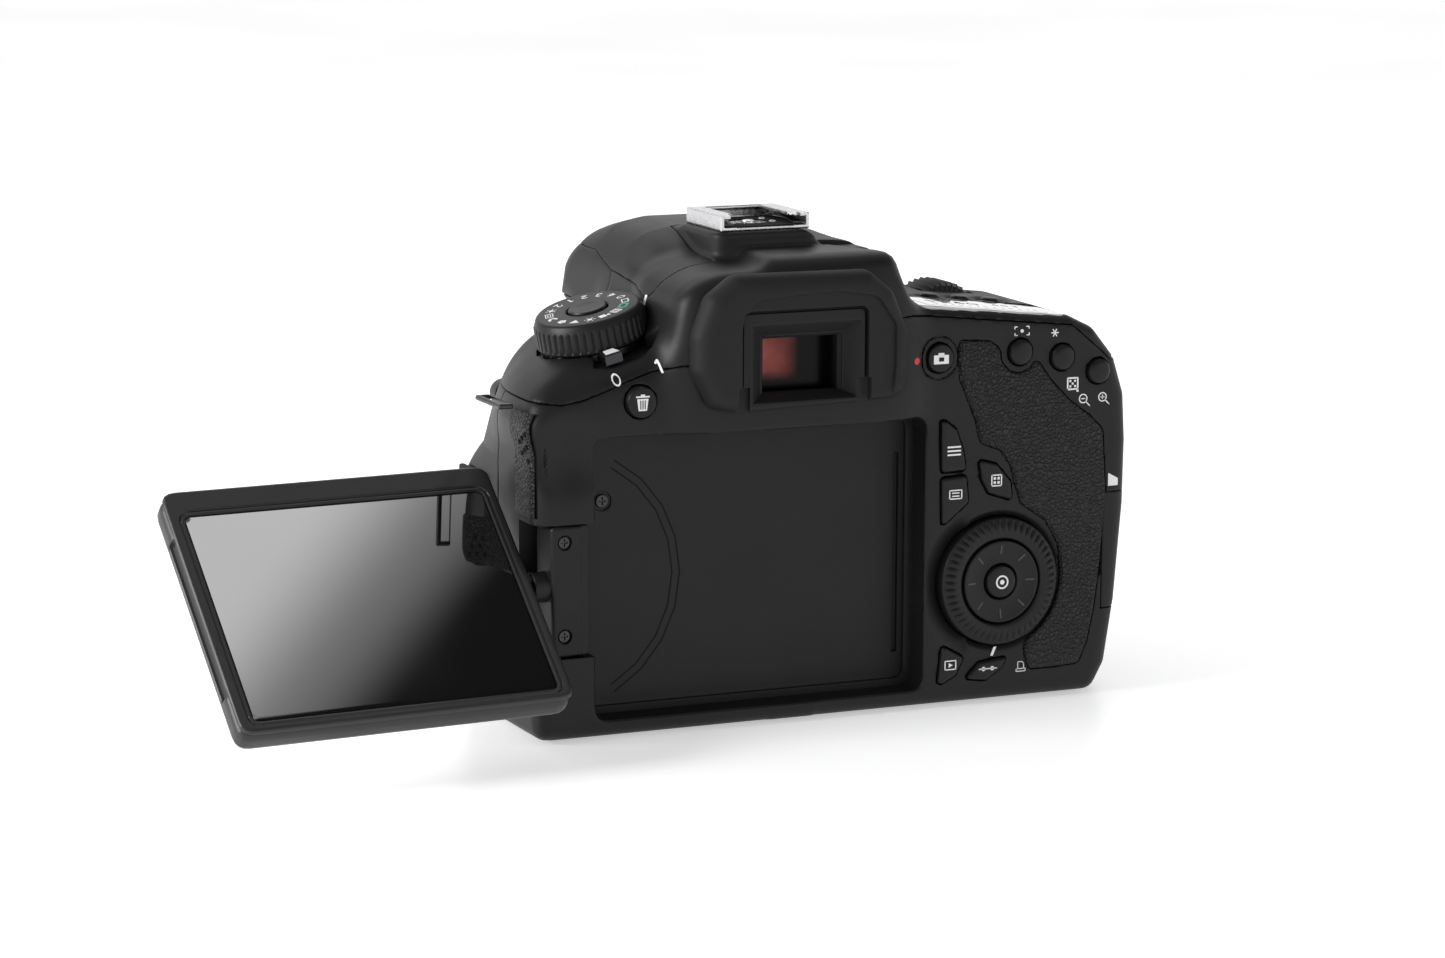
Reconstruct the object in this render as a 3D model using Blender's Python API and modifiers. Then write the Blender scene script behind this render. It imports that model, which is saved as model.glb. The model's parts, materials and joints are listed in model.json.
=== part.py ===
"""A single-lens reflex camera body with a swivel-and-tilt monitor, one object per physical piece.

Row frame: +X to the photographer's right, +Y towards the lens, +Z up. The origin lies on the flat
base, under the lens axis and in the sensor plane. Sizes are written in millimetres, and places are
written as (x, y, z) with y counted forwards from the flat rear face; place() turns both into metres.
"""

import math

import bmesh
import bpy
from mathutils import Matrix, Vector

MM = 0.001
SENSOR_Y = 26.0  # rear face to sensor plane
FLANGE_Y = SENSOR_Y + 44.0  # sensor plane to lens flange, the mount's standard distance
LENS_Z = 46.0
GAP = 0.3  # between pieces that touch in the real camera
TRAVEL = 0.8  # how far a small button goes in

LEFT, RIGHT = -57.8, 79.4  # sides of the body below its shoulders
BODY_FRONT = 46.0
SEAM_Y = 22.0  # rear cover meets front cover
FLOOR_TOP = 2.9  # thickness of the bottom cover
WALL_Y = 11.6  # the hollow behind the rear cover starts here

SWIVEL = (-50.7, 3.75, 32.5)  # where the swivel axis crosses the tilt axis
SWIVEL_ANGLE = 176.0  # opened from the closed position
TILT_ANGLE = 47.0  # screen leaned back from upright
PANEL_U = (8.4, 79.8)  # along the tilt axis, from the swivel axis
PANEL_HALF_HEIGHT = 29.5
PANEL_HALF_THICKNESS = 3.4

DIAL_TOP = (-39.4, 18.3, 87.3)  # centre of the mode dial's top face
DIAL_AXIS = Vector((-0.24, -0.085, 0.967)).normalized()
SLOT_STEPS = 7  # chords in the arc that the power lever's tab runs along
WHEEL = (47.9, 26.4)  # centre (x, z) of the rear wheel
TOP_SLOPE = math.atan2(4.8, 42.0)  # fall of the right shoulder towards the grip

NAME = "dslr_camera"

for old in list(bpy.data.objects):
    bpy.data.objects.remove(old, do_unlink=True)
parts = bpy.data.collections.new(NAME)
cutters = bpy.data.collections.new("cutters")
bpy.context.scene.collection.children.link(parts)
bpy.context.scene.collection.children.link(cutters)


def place(x, y, z):
    return Vector((x, y - SENSOR_Y, z)) * MM


def material(name, colour, roughness, metallic=0.0):
    made = bpy.data.materials.new(name)
    made.use_nodes = True
    shader = made.node_tree.nodes["Principled BSDF"]
    shader.inputs["Base Color"].default_value = (*colour, 1.0)
    shader.inputs["Roughness"].default_value = roughness
    shader.inputs["Metallic"].default_value = metallic
    return made


SHELL = material("shell", (0.022, 0.022, 0.024), 0.55)
GRIP = material("grip_rubber", (0.014, 0.014, 0.015), 0.8)
BUTTON = material("button", (0.03, 0.03, 0.032), 0.5)
STEEL = material("steel", (0.55, 0.56, 0.57), 0.3, 1.0)
BLACK_METAL = material("black_metal", (0.05, 0.05, 0.055), 0.4, 1.0)
GLASS = material("glass", (0.02, 0.02, 0.024), 0.08)
BOARD = material("board", (0.03, 0.12, 0.06), 0.5)
PALE = material("pale_panel", (0.7, 0.72, 0.7), 0.3)


def made_object(name, shape, skin):
    """Links a bmesh as a part with a material, or as a hidden cutter without one."""
    mesh = bpy.data.meshes.new(name)
    bmesh.ops.recalc_face_normals(shape, faces=shape.faces)
    shape.to_mesh(mesh)
    shape.free()
    made = bpy.data.objects.new(name, mesh)
    if skin:
        mesh.materials.append(skin)
        parts.objects.link(made)
    else:
        made.hide_render = True
        made.display_type = "WIRE"
        cutters.objects.link(made)
    return made


def softened(made, width, segments=2):
    """Rounds the sharp edges by width millimetres."""
    if width:
        bevel = made.modifiers.new("edges", "BEVEL")
        bevel.width = width * MM
        bevel.segments = segments
        bevel.limit_method = "ANGLE"
        bevel.angle_limit = math.radians(35)
    return made


def box(name, low, high, skin=None, soft=0.0, frame=None):
    """A box between two corners, in body places, or in a local frame given as a matrix in metres."""
    shape = bmesh.new()
    bmesh.ops.create_cube(shape, size=1.0)
    low, high = Vector(low), Vector(high)
    for vert in shape.verts:
        vert.co = Vector(map(lambda a, b, c: (a + b) / 2 + c * (b - a), low, high, vert.co)) * MM
    made = made_object(name, shape, skin)
    made.matrix_world = frame if frame else Matrix.Translation(place(0, 0, 0))
    return softened(made, soft)


def drum(name, centre, axis, radius, length, skin=None, soft=0.0, sides=24, end_radius=None, frame=None):
    """A cylinder or cone that starts at centre and runs along axis."""
    shape = bmesh.new()
    bmesh.ops.create_cone(
        shape,
        cap_ends=True,
        segments=sides,
        radius1=radius * MM,
        radius2=(radius if end_radius is None else end_radius) * MM,
        depth=length * MM,
    )
    axis = Vector(axis).normalized()
    start = Vector(centre) * MM if frame else place(*centre)
    turn = axis.to_track_quat("Z", "Y").to_matrix().to_4x4()
    made = made_object(name, shape, skin)
    made.matrix_world = (
        (frame if frame else Matrix())
        @ Matrix.Translation(start + axis * length * MM / 2)
        @ turn
    )
    return softened(made, soft)


def prism(name, outline, low, high, along="Y", skin=None, soft=0.0, frame=None):
    """A flat outline, given across the named axis, carried from low to high along it."""
    order = {"X": lambda a, b, c: (c, a, b), "Y": lambda a, b, c: (a, c, b), "Z": lambda a, b, c: (a, b, c)}
    shape = bmesh.new()
    ring = [shape.verts.new(Vector(order[along](a, b, low)) * MM) for a, b in outline]
    face = shape.faces.new(ring)
    grown = bmesh.ops.extrude_face_region(shape, geom=[face])["geom"]
    shift = Vector(order[along](0, 0, high - low)) * MM
    bmesh.ops.translate(shape, verts=[v for v in grown if isinstance(v, bmesh.types.BMVert)], vec=shift)
    made = made_object(name, shape, skin)
    made.matrix_world = frame if frame else Matrix.Translation(place(0, 0, 0))
    return softened(made, soft)


def rounded(corners, radius, steps=3):
    """The outline with each corner replaced by an arc of about this radius."""
    count = len(corners)
    outline = []
    for index, corner in enumerate(corners):
        here = Vector(corner)
        before = Vector(corners[index - 1]) - here
        after = Vector(corners[(index + 1) % count]) - here
        half = before.angle(after) / 2
        reach = min(radius / math.tan(half), 0.45 * before.length, 0.45 * after.length)
        inside = (before.normalized() + after.normalized()).normalized()
        middle = here + inside * (reach / math.cos(half))
        first = here + before.normalized() * reach - middle
        last = here + after.normalized() * reach - middle
        size = first.length
        outline += [tuple(middle + first.slerp(last, step / steps) * size) for step in range(steps + 1)]
    return outline


def rectangle(low, high, radius=0.0, steps=3):
    corners = [(low[0], low[1]), (high[0], low[1]), (high[0], high[1]), (low[0], high[1])]
    return rounded(corners, radius, steps) if radius else corners


def grown(outline, margin):
    """The outline moved outwards by margin, or inwards where it is negative."""
    count = len(outline)
    area = sum(
        outline[i - 1][0] * outline[i][1] - outline[i][0] * outline[i - 1][1] for i in range(count)
    )
    side = 1.0 if area > 0 else -1.0
    moved = []
    for index in range(count):
        here = Vector(outline[index])
        before = (here - Vector(outline[index - 1])).normalized()
        after = (Vector(outline[(index + 1) % count]) - here).normalized()
        out = Vector((before.y + after.y, -before.x - after.x)) * side
        moved.append(tuple(here + out * (margin / (1.0 + before.dot(after)))))
    return moved


def joined(target, other, operation):
    """Adds a Boolean modifier that works on the target with the other object."""
    step = target.modifiers.new(f"{operation.lower()}_{other.name}"[:60], "BOOLEAN")
    step.operation = operation
    step.object = other
    return target


def cut(target, *others):
    for other in others:
        joined(target, other, "DIFFERENCE")
    return target


def fused(target, *others):
    for other in others:
        joined(target, other, "UNION")
    return target


def kept(target, *others):
    for other in others:
        joined(target, other, "INTERSECT")
    return target


def settle(made, pivot=None, frame=None):
    """Moves the origin to a pivot given as a body place, so that a joint turns about it."""
    if pivot is not None:
        target = Matrix.Translation(place(*pivot)) if frame is None else frame
        made.data.transform(target.inverted() @ made.matrix_world)
        made.matrix_world = target
    return made


# ---- outer shape ------------------------------------------------------------------------------

SIDE_PROFILE = rounded(
    [
        (LEFT, 0.0), (LEFT, 63.5), (-59.4, 66.0), (-59.4, 74.0), (-52.0, 81.5), (-24.0, 84.0),
        (24.0, 86.8), (66.0, 82.0), (75.0, 74.5), (RIGHT - 0.4, 58.0), (RIGHT, 20.0), (77.0, 5.0),
        (73.5, 0.0),
    ],
    5.0,
    2,
)
GRIP_PLAN = [
    (44, 20), (44, 46), (48.5, 61), (57, 69.5), (66, 72), (76, 69.5), (82, 60), (83.8, 44), (83, 24),
    (79, 8), (72, 8),
]
GRIP_SIDE = [(4, 0.12), (4, 79.3), (40, 81.1), (54, 79.2), (64, 75.5), (71, 66), (72, 50), (70.5, 4), (68, 0.12)]
GRIP_FRONT = [
    (30, -1), (30, 92), (64, 81.4), (73, 77.2), (80, 68), (83.6, 56), (84.4, 20), (82, 6), (78.5, 0), (78.5, -1),
]
HUMP_FRONT = [
    (-30.5, 60), (-30.5, 79), (-27, 88.5), (-18, 99.5), (-12, 103.2), (12, 103.2), (17, 98), (24.5, 92),
    (30.5, 82), (30.5, 60),
]
HUMP_SIDE = [
    (0.2, 60), (0.2, 92.5), (4, 94.4), (12, 95.9), (15.5, 97.5), (20.5, 99.5), (35.8, 101.4),
    (36.3, 103.2), (53.6, 101.5), (65, 97.2), (71, 89.5), (71, 81.5), (62, 79.6), (62, 60),
]
SHOE_BLOCK = ((-11.7, 14.6, 90.0), (12.3, 32.7, 101.6))
BOSS_RADIUS = 37.0
BOSS_FRONT = 66.5


def grip_form(name, inset):
    plan = grown(rounded(GRIP_PLAN, 6.0, 2), -inset)
    side = grown(rounded(GRIP_SIDE, 3.0, 1), -inset)
    front = grown(GRIP_FRONT, -inset)
    form = prism(name, plan, -1.0, 90.0, "Z")
    kept(form, prism(name + "_side", side, 30.0, 95.0, "X"))
    return kept(form, prism(name + "_front", front, 0.0, 80.0))


def envelope(name):
    """The closed outer form that the covers are cut from."""
    form = prism(name, SIDE_PROFILE, 0.0, BODY_FRONT, "Y", soft=2.0)
    hump = prism(name + "_hump", HUMP_FRONT, -2.0, 75.0)
    kept(hump, prism(name + "_hump_side", rounded(HUMP_SIDE, 2.5, 1), -40.0, 40.0, "X"))
    return fused(
        form,
        grip_form(name + "_grip", 0.0),
        hump,
        box(name + "_shoe_block", *SHOE_BLOCK, soft=1.0),
        drum(name + "_boss", (0, 39.7, LENS_Z), (0, 1, 0), BOSS_RADIUS, BOSS_FRONT - 39.7, sides=40),
        box(name + "_boss_foot", (-33, 40.3, 0.2), (33, 60, 40)),
    )


def top_region(margin):
    """Everything above the seam between the top cover and the covers below it."""
    seam = [
        (-70, 75), (-27, 75), (-27, 65.3), (25.5, 65.3), (25.5, 80.6), (95, 80.6), (95, 120), (-70, 120),
    ]
    front_seam = [
        (-70, 75), (-38, 75), (-38, 83.6), (38, 83.6), (38, 80.6), (95, 80.6), (95, 120), (-70, 120),
    ]
    region = prism(f"top_region_{margin:.1f}", grown(seam, margin), -12, 40)
    return fused(region, prism(f"top_region_front_{margin:.1f}", grown(front_seam, margin), 39, 82))


FLASH_PIVOT = (0.0, 17.5, 94.0)
FLASH_END_RADIUS = 4.9  # rear ends of the arms, round the hinge
FLASH_CLEAR_RADIUS = 20.7  # the hood stays this far from the hinge, clear of the accessory shoe
FLASH_ARM_INSIDE = 12.6
FLASH_TUBE = ((-19, 41, 87.2), (19, 62, 97))


def flash_region(margin):
    """Room of the flash head: two arms beside the shoe block, round about the hinge, and the hood ahead."""
    y, z = FLASH_PIVOT[1:]
    turns = [math.radians(angle) for angle in range(100, 271, 17)]
    end = [(y + FLASH_END_RADIUS * math.cos(turn), z + FLASH_END_RADIUS * math.sin(turn)) for turn in turns]
    outline = end + [(24, 90.6), (40, 92.2), (52, 95.0), (82, 95.0), (82, 120), (end[0][0], 120)]
    room = prism(f"flash_region_{margin:.1f}", grown(outline, margin), -45, 45, "X")
    clear = FLASH_CLEAR_RADIUS - margin
    half = FLASH_ARM_INSIDE - margin
    return cut(room, drum(f"shoe_room_{margin:.1f}", (-half, y, z), (1, 0, 0), clear, 2 * half, sides=64))


def floor_region(margin):
    low, high = (-54 - margin, 12 - margin, -2), (79 + margin, 62 + margin, FLOOR_TOP + margin)
    return box(f"floor_region_{margin:.1f}", low, high)


FORM = envelope("envelope")
HOLLOW = fused(
    box("hollow_body", (-55.5, WALL_Y, FLOOR_TOP + GAP), (76.5, 43.5, 73)),
    box("hollow_grip", (50, 30, FLOOR_TOP + GAP), (79.5, 66, 66)),
    box("hollow_mirror", (-24, 40, 21), (24, 62, 82)),
    box("hollow_hump", (-19, WALL_Y, 60), (19, 60, 86)),
    box("hollow_shoe", (-9.5, WALL_Y, 80), (9.5, 33, 95)),
    drum("throat", (0, 55, LENS_Z), (0, 1, 0), 26.8, 20, sides=40),
)


# ---- rear controls ----------------------------------------------------------------------------

RECESS = rectangle((-45, 4), (30.3, 62.9), 3.0)
RECESS_DEPTH = 7.5
BUTTON_DEPTH = 5.2
BORE_DEPTH = 6.5

KEY_OUTLINES = {
    "menu_button": [(33.6, 61.9), (34.8, 61.8), (37.2, 59.9), (38.9, 55.3), (39.7, 51.0), (33.8, 50.7)],
    "info_button": [(33.8, 49.6), (39.7, 49.9), (40.3, 44.0), (34.9, 39.7), (34.0, 39.7)],
    "quick_button": [(42.5, 53.1), (46.9, 51.8), (50.3, 47.9), (50.8, 43.7), (45.0, 45.6), (43.3, 48.6)],
    "playback_button": [(34.4, 13.5), (39.7, 10.4), (37.8, 6.7), (34.5, 5.0), (33.5, 5.3)],
    "unlock_button": [(39.7, 5.6), (43.3, 9.0), (50.2, 9.8), (48.8, 7.4), (45.0, 5.0)],
}
ROUND_KEYS = {
    "live_view_button": (33.0, 75.3, 3.05),
    "af_on_button": (52.2, 75.5, 2.8),
    "ae_lock_button": (62.3, 73.9, 2.8),
    "af_point_button": (71.1, 70.4, 2.7),
    "erase_button": (-35.0, 70.0, 3.3),
}
THUMB_PAD = [
    (37.6, 77.8), (45.0, 78.3), (47.6, 76.4), (48.4, 72.6), (52.2, 71.0), (57.0, 71.6), (60.0, 68.6),
    (66.5, 66.0), (70.6, 61.0), (72.4, 57.5), (72.6, 50.0), (71.6, 20.0), (70.4, 11.6), (67.6, 6.7),
    (55.9, 6.4), (54.1, 11.2), (58.0, 17.0), (62.6, 26.5), (60.6, 37.0), (53.6, 42.4), (51.8, 49.0),
    (47.8, 54.7), (42.4, 56.9), (41.0, 62.6), (37.7, 71.0),
]


def key_pieces():
    """The small keys on the rear face, with the bores that hold them."""
    bores = []
    for name, outline in KEY_OUTLINES.items():
        key = prism(name, grown(outline, -GAP), -1.0, BUTTON_DEPTH, "Y", BUTTON)
        settle(key, (sum(p[0] for p in outline) / len(outline), 0, sum(p[1] for p in outline) / len(outline)))
        bores.append(prism(name + "_bore", outline, -5, BORE_DEPTH))
    for name, (x, z, radius) in ROUND_KEYS.items():
        key = drum(name, (x, -1.6, z), (0, 1, 0), radius, BUTTON_DEPTH + 1.6, BUTTON, sides=16)
        settle(key, (x, 0, z))
        bores.append(drum(name + "_bore", (x, -5, z), (0, 1, 0), radius + GAP, BORE_DEPTH + 5, sides=16))
    return bores


def wheel_pieces():
    """The rear wheel, the rocker pad inside it and the set key in the middle."""
    x, z = WHEEL
    back = (0, 1, 0)
    ring = drum("quick_control_dial", (x, -2.2, z), back, 13.8, 6.4, BUTTON, 0.6, 32)
    cut(ring, drum("dial_hole", (x, -5, z), back, 9.75, 15, sides=32))
    settle(ring, (x, 0, z))
    pad = drum("multi_controller", (x, -1.6, z), back, 9.4, 4.4, BUTTON, 0.5, 32)
    cut(pad, drum("pad_hole", (x, -5, z), back, 3.9, 15))
    settle(pad, (x, 1.0, z))
    settle(drum("set_button", (x, -2.2, z), back, 3.55, 5.4, BUTTON, 0.3), (x, 0, z))
    return [drum("wheel_pocket", (x, -6, z), back, 14.1, 11.2, sides=32)]


def thumb_pad():
    pad = prism("thumb_rubber", THUMB_PAD, -0.6, 0.7, "Y", GRIP)
    cut(pad, drum("pad_round_dial", (WHEEL[0], -5, WHEEL[1]), (0, 1, 0), 14.7, 10, sides=32))
    return [prism("thumb_pocket", grown(THUMB_PAD, GAP), -3, 1.0)]


# ---- monitor and its hinge --------------------------------------------------------------------


def hinge_frame(tilt):
    """Local X along the tilt axis, Y out of the screen and Z up the panel, at the swivel centre."""
    swivel = math.radians(SWIVEL_ANGLE)
    along = Vector((math.cos(swivel), -math.sin(swivel), 0))
    out = Vector((0, 0, 1)).cross(along)
    turn = Matrix((along, out, Vector((0, 0, 1)))).transposed().to_4x4()
    return Matrix.Translation(place(*SWIVEL)) @ turn @ Matrix.Rotation(math.radians(tilt), 4, "X")


def hinge_pieces():
    frame = hinge_frame(0)
    bracket = box("hinge_bracket", (-4.3, -3.9, -14.3), (4.3, 3.9, 12.9), BLACK_METAL, 0.5, frame)
    pin = drum("swivel_pin", (0, 0, -16), (0, 0, 1), 1.5, 31, sides=16, frame=frame)
    knuckle = drum("tilt_knuckle", (3.0, 0, 0), (1, 0, 0), 3.2, 4.6, sides=20, frame=frame)
    shaft = drum("tilt_shaft", (6.0, 0, 0), (1, 0, 0), 1.4, 5.5, sides=16, frame=frame)
    fused(bracket, pin, knuckle, shaft)
    return [
        box("hinge_notch", (-65, -3, 17.9), (-44.7, 10.0, 45.7)),
        drum("swivel_bore", (SWIVEL[0], SWIVEL[1], 16), (0, 0, 1), 1.56, 32, sides=16),
    ]


def panel_box(name, low, high, skin=None, soft=0.0):
    return box(name, low, high, skin, soft, hinge_frame(TILT_ANGLE))


def monitor_pieces():
    near, far = PANEL_U
    tall, thick = PANEL_HALF_HEIGHT, PANEL_HALF_THICKNESS
    split = 2.0
    frame = hinge_frame(TILT_ANGLE)
    outer = rectangle((near, -tall), (far, tall), 2.5)
    shell = prism("monitor_back", outer, -thick, split, "Y", SHELL, frame=frame)
    cut(
        shell,
        panel_box("monitor_hollow", (near + 4, -1.9, -tall + 3), (far - 2.5, 5, tall - 3)),
        drum("shaft_bore", (near - 2, 0, 0), (1, 0, 0), 1.46, 8, sides=16, frame=frame),
    )
    rim = prism("monitor_bezel", outer, split + GAP, thick, "Y", SHELL, frame=frame)
    cut(rim, panel_box("bezel_window", (near + 3, 0, -27.0), (far - 3.2, 5, 23.2)))
    low, high = (near + 3 + GAP, split + 0.5, -26.7), (far - 3.2 - GAP, thick - 0.2, 22.9)
    panel_box("monitor_glass", low, high, GLASS)
    panel_box("monitor_display", (near + 5, -1.5, -25.0), (far - 4, 1.6, 25.0), BOARD)


# ---- top controls -----------------------------------------------------------------------------


def mode_dial_pieces():
    """The mode dial with its lock key, and the power lever under it on the same axis."""
    top = Vector(DIAL_TOP)
    height, radius = 6.4, 11.3
    base = top - DIAL_AXIS * height
    dial = drum("mode_dial", base, DIAL_AXIS, radius, height, BUTTON, 0.5, 36)
    cut(dial, drum("lock_hole", base + DIAL_AXIS * 2.2, DIAL_AXIS, 4.4, 10, sides=24))
    settle(dial, base)
    lock = drum("dial_lock_button", base + DIAL_AXIS * 3.2, DIAL_AXIS, 4.1, 3.6, STEEL, 0.3, 24)
    settle(lock, base + DIAL_AXIS * 3.2)
    foot = base - DIAL_AXIS * 2.1
    lever = drum("power_switch", foot, DIAL_AXIS, 11.0, 1.8, BLACK_METAL, sides=36)
    across = Vector((0, 1, 0)).cross(DIAL_AXIS).normalized()
    turn = Matrix((across, DIAL_AXIS.cross(across), DIAL_AXIS)).transposed().to_4x4()
    foot_frame = Matrix.Translation(place(*foot)) @ turn
    tab = box("power_tab", (-4.0, -15.2, 0.0), (0.0, -8.0, 1.8), frame=foot_frame)
    settle(fused(lever, tab), foot)
    slot = [(0, 0)]
    for step in range(SLOT_STEPS + 1):
        angle = math.radians(-114 + step * 64 / SLOT_STEPS)
        slot.append((15.8 * math.cos(angle), 15.8 * math.sin(angle)))
    return [
        drum("dial_pocket", foot - DIAL_AXIS * GAP, DIAL_AXIS, radius + 0.35, 16, sides=36),
        prism("switch_slot", slot, -GAP, 9.0, "Z", frame=foot_frame),
    ]


def shoulder_frame():
    """A frame on the right shoulder's sloping top, X down the slope and Z out of it."""
    return Matrix.Translation(place(24.0, 0, 86.8)) @ Matrix.Rotation(TOP_SLOPE, 4, "Y")


TOP_KEYS = ["af_mode_button", "drive_button", "iso_button", "metering_button"]


def top_panel_pieces():
    """The top display window and the row of keys in front of it."""
    frame = shoulder_frame()
    low, high = (8.0, 3.0, -1.6), (41.0, 19.5, 0.25)
    box("top_display_window", low, high, PALE, 0.0, frame)
    holes = [box("window_pocket", (7.7, 2.7, -1.9), (41.3, 19.8, 3), frame=frame)]
    for index, name in enumerate(TOP_KEYS):
        spot = (11.5 + index * 7.4, 24.5, -2.6)
        key = drum(name, spot, (0, 0, 1), 2.1, 3.5, BUTTON, sides=14, frame=frame)
        settle(key, (0, 0, 0), frame @ Matrix.Translation(Vector(spot) * MM))
        start = (spot[0], spot[1], -3.9)
        holes.append(drum(name + "_bore", start, (0, 0, 1), 2.4, 8, sides=14, frame=frame))
    return holes


def main_dial():
    """The knurled wheel behind the shutter key, on an axle that points forwards."""
    centre = (52.0, 35.5, 77.2)
    wheel = drum("main_dial", centre, (0, 1, 0), 9.0, 11.0, BUTTON, 0.5, 32)
    settle(wheel, (centre[0], centre[1] + 5.5, centre[2]))
    slot = drum("main_dial_slot", (centre[0], centre[1] - 0.4, centre[2]), (0, 1, 0), 9.5, 11.8, sides=32)
    return [slot]


SHUTTER = (62.0, 59.5, 74.6)
SHUTTER_AXIS = Vector((0.0, 0.30, 0.954)).normalized()


def shutter_key():
    key = drum("shutter_button", SHUTTER, SHUTTER_AXIS, 6.2, 5.0, STEEL, 0.8, 24)
    settle(key, SHUTTER)
    start = Vector(SHUTTER) - SHUTTER_AXIS * 1.6
    return [drum("shutter_bore", start, SHUTTER_AXIS, 6.55, 14, sides=24)]


def hot_shoe():
    """A folded metal channel with two lips, standing on the block over the prism."""
    floor, top = SHOE_BLOCK[1][2] + GAP, 105.4
    shoe = box("hot_shoe", (-10.2, 16.0, floor), (10.2, 34.3, top), STEEL)
    cut(
        shoe,
        box("shoe_channel", (-9.4, 10, floor + 0.9), (9.4, 40, top - 0.8)),
        box("shoe_mouth", (-6.4, 10, floor + 0.9), (6.4, 40, top + 2)),
    )


def eyepiece():
    """The soft eyecup, the lens behind it and the eyesight knob beside it."""
    outline = rounded([(-25.5, 67.5), (22.8, 67.5), (22.8, 82), (17.5, 95.3), (-18.5, 95.3), (-25.5, 82)], 5.0)
    cup = prism("eyecup", outline, -7.8, -0.1, "Y", GRIP, 0.9)
    cut(
        cup,
        box("eyecup_window", (-9.4, -12, 70), (9.0, 6, 82.6)),
        box("eyecup_step", (-15.4, -12, 68.9), (13.1, -6.2, 88.2)),
    )
    box("eyepiece_lens", (-9.0, 2.6, 70.4), (8.6, 6.0, 82.2), GLASS, 0.3)
    knob = drum("diopter_knob", (21.6, 7.0, 91.6), (0.77, 0, 0.64), 4.2, 3.4, BUTTON, 0.4, 20)
    settle(knob, (21.6, 7.0, 91.6))
    return [
        box("eyepiece_tunnel", (-9.3, -3, 70.1), (8.9, 16, 82.5)),
        drum("knob_pocket", (21.2, 7.0, 91.27), (0.77, 0, 0.64), 4.55, 12, sides=20),
    ]


# ---- covers -----------------------------------------------------------------------------------

CARD_DOOR = ((73.0, -2.0, 18.5), (90.0, 21.0, 43.8))
BATTERY_DOOR = ((49.3, 16.0, 0.0), (74.9, 57.6, 2.6))
SIDE_FLAPS = {"port_cover_rear": (28.7, 36.0), "port_cover_front": (36.6, 43.4)}
GRIP_BAND = ((40, 50, 8), (95, 80, 62))


def card_door():
    low, high = CARD_DOOR
    door = kept(box("card_door", low, high, SHELL), FORM)
    cut(door, box("card_door_inside", (60, 2.5, 10), (77.6, 30, 50)))
    settle(door, (81.0, 19.9, 31.0))
    return [box("card_door_hole", (low[0] - GAP, -3, low[2] - GAP), (92, 23, high[2] + GAP))]


def battery_door():
    low, high = BATTERY_DOOR
    door = box("battery_door", low, high, SHELL)
    latch_low, latch_high = (50.6, 31, -1.0), (54.6, 43, 0.9)
    cut(door, box("latch_pocket", (50.2, 29.5, -2), (56.8, 44.5, 1.2)))
    settle(door, (73.6, 36.0, 1.3))
    box("battery_latch", (latch_low[0], latch_low[1], 0.1), latch_high, BUTTON)
    return [box("battery_door_hole", (low[0] - GAP, low[1] - GAP, -3), (75.7, high[1] + GAP, 5))]


def flash_head():
    """The hood of the flash with its tube housing, and the room that it leaves in the top cover."""
    head = kept(box("flash_head", (-46, 5, 80), (46, 90, 125), SHELL), FORM, flash_region(0))
    settle(fused(head, box("flash_tube", *FLASH_TUBE, soft=0.5)), FLASH_PIVOT)
    low, high = Vector(FLASH_TUBE[0]), Vector(FLASH_TUBE[1])
    return [flash_region(GAP), box("flash_well", low - Vector((0.5, 1.1, GAP)), high + Vector((0.5, 1.2, 0)))]


def side_flaps():
    holes = []
    for name, (rear, front) in SIDE_FLAPS.items():
        flap = box(name, (LEFT - 0.8, rear, 10), (LEFT + 0.5, front, 52), GRIP, 0.3)
        settle(flap, (LEFT - 0.8, front, 31))
        holes.append(box(name + "_seat", (LEFT - 5, rear - GAP, 9.7), (LEFT + 0.9, front + GAP, 52.3)))
    return holes


def side_rubber():
    box("side_rubber", (LEFT - 0.6, 2.6, 47.5), (LEFT + 0.6, 11.4, 62.6), GRIP)
    return [box("side_rubber_seat", (LEFT - 5, 2.3, 47.2), (LEFT + 0.9, 11.7, 62.9))]


def grip_band(name, inset, low, high):
    band = box(name, low, high)
    return cut(band, grip_form(name + "_core", inset))


def grip_rubber():
    """The soft skin round the front of the handgrip, let into the front cover."""
    low, high = Vector(GRIP_BAND[0]), Vector(GRIP_BAND[1])
    skin = kept(box("grip_rubber", low, high, GRIP), grip_form("grip_outside", 0.0))
    cut(skin, grip_form("grip_inside", 1.3))
    room = Vector((GAP, GAP, GAP))
    return [grip_band("grip_seat", 1.6, low - room, high + room)]


def front_keys():
    """The lens release and the flash key beside the mount."""
    bores = []
    for name, x, z, radius in (("lens_release_button", -46.5, 36, 5.2), ("flash_button", -47, 66, 3.0)):
        key = drum(name, (x, BODY_FRONT - 2.0, z), (0, 1, 0), radius, 4.0, BUTTON, 0.5, 20)
        settle(key, (x, BODY_FRONT, z))
        bores.append(drum(name + "_bore", (x, 40, z), (0, 1, 0), radius + GAP, 12, sides=20))
    return bores


def strap_lugs():
    for name, x, y, side in (("strap_lug_left", -61.0, 11.5, -1), ("strap_lug_right", 79.4, 30, 1)):
        low, high = sorted((x, x + side * 3.2))
        lug = box(name, (low, y - 7, 69.4), (high, y + 7, 71.0), STEEL, 0.4)
        slot_low, slot_high = sorted((x + side * 1.0, x + side * 2.2))
        cut(lug, box(name + "_slot", (slot_low, y - 5, 65), (slot_high, y + 5, 75)))


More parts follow.
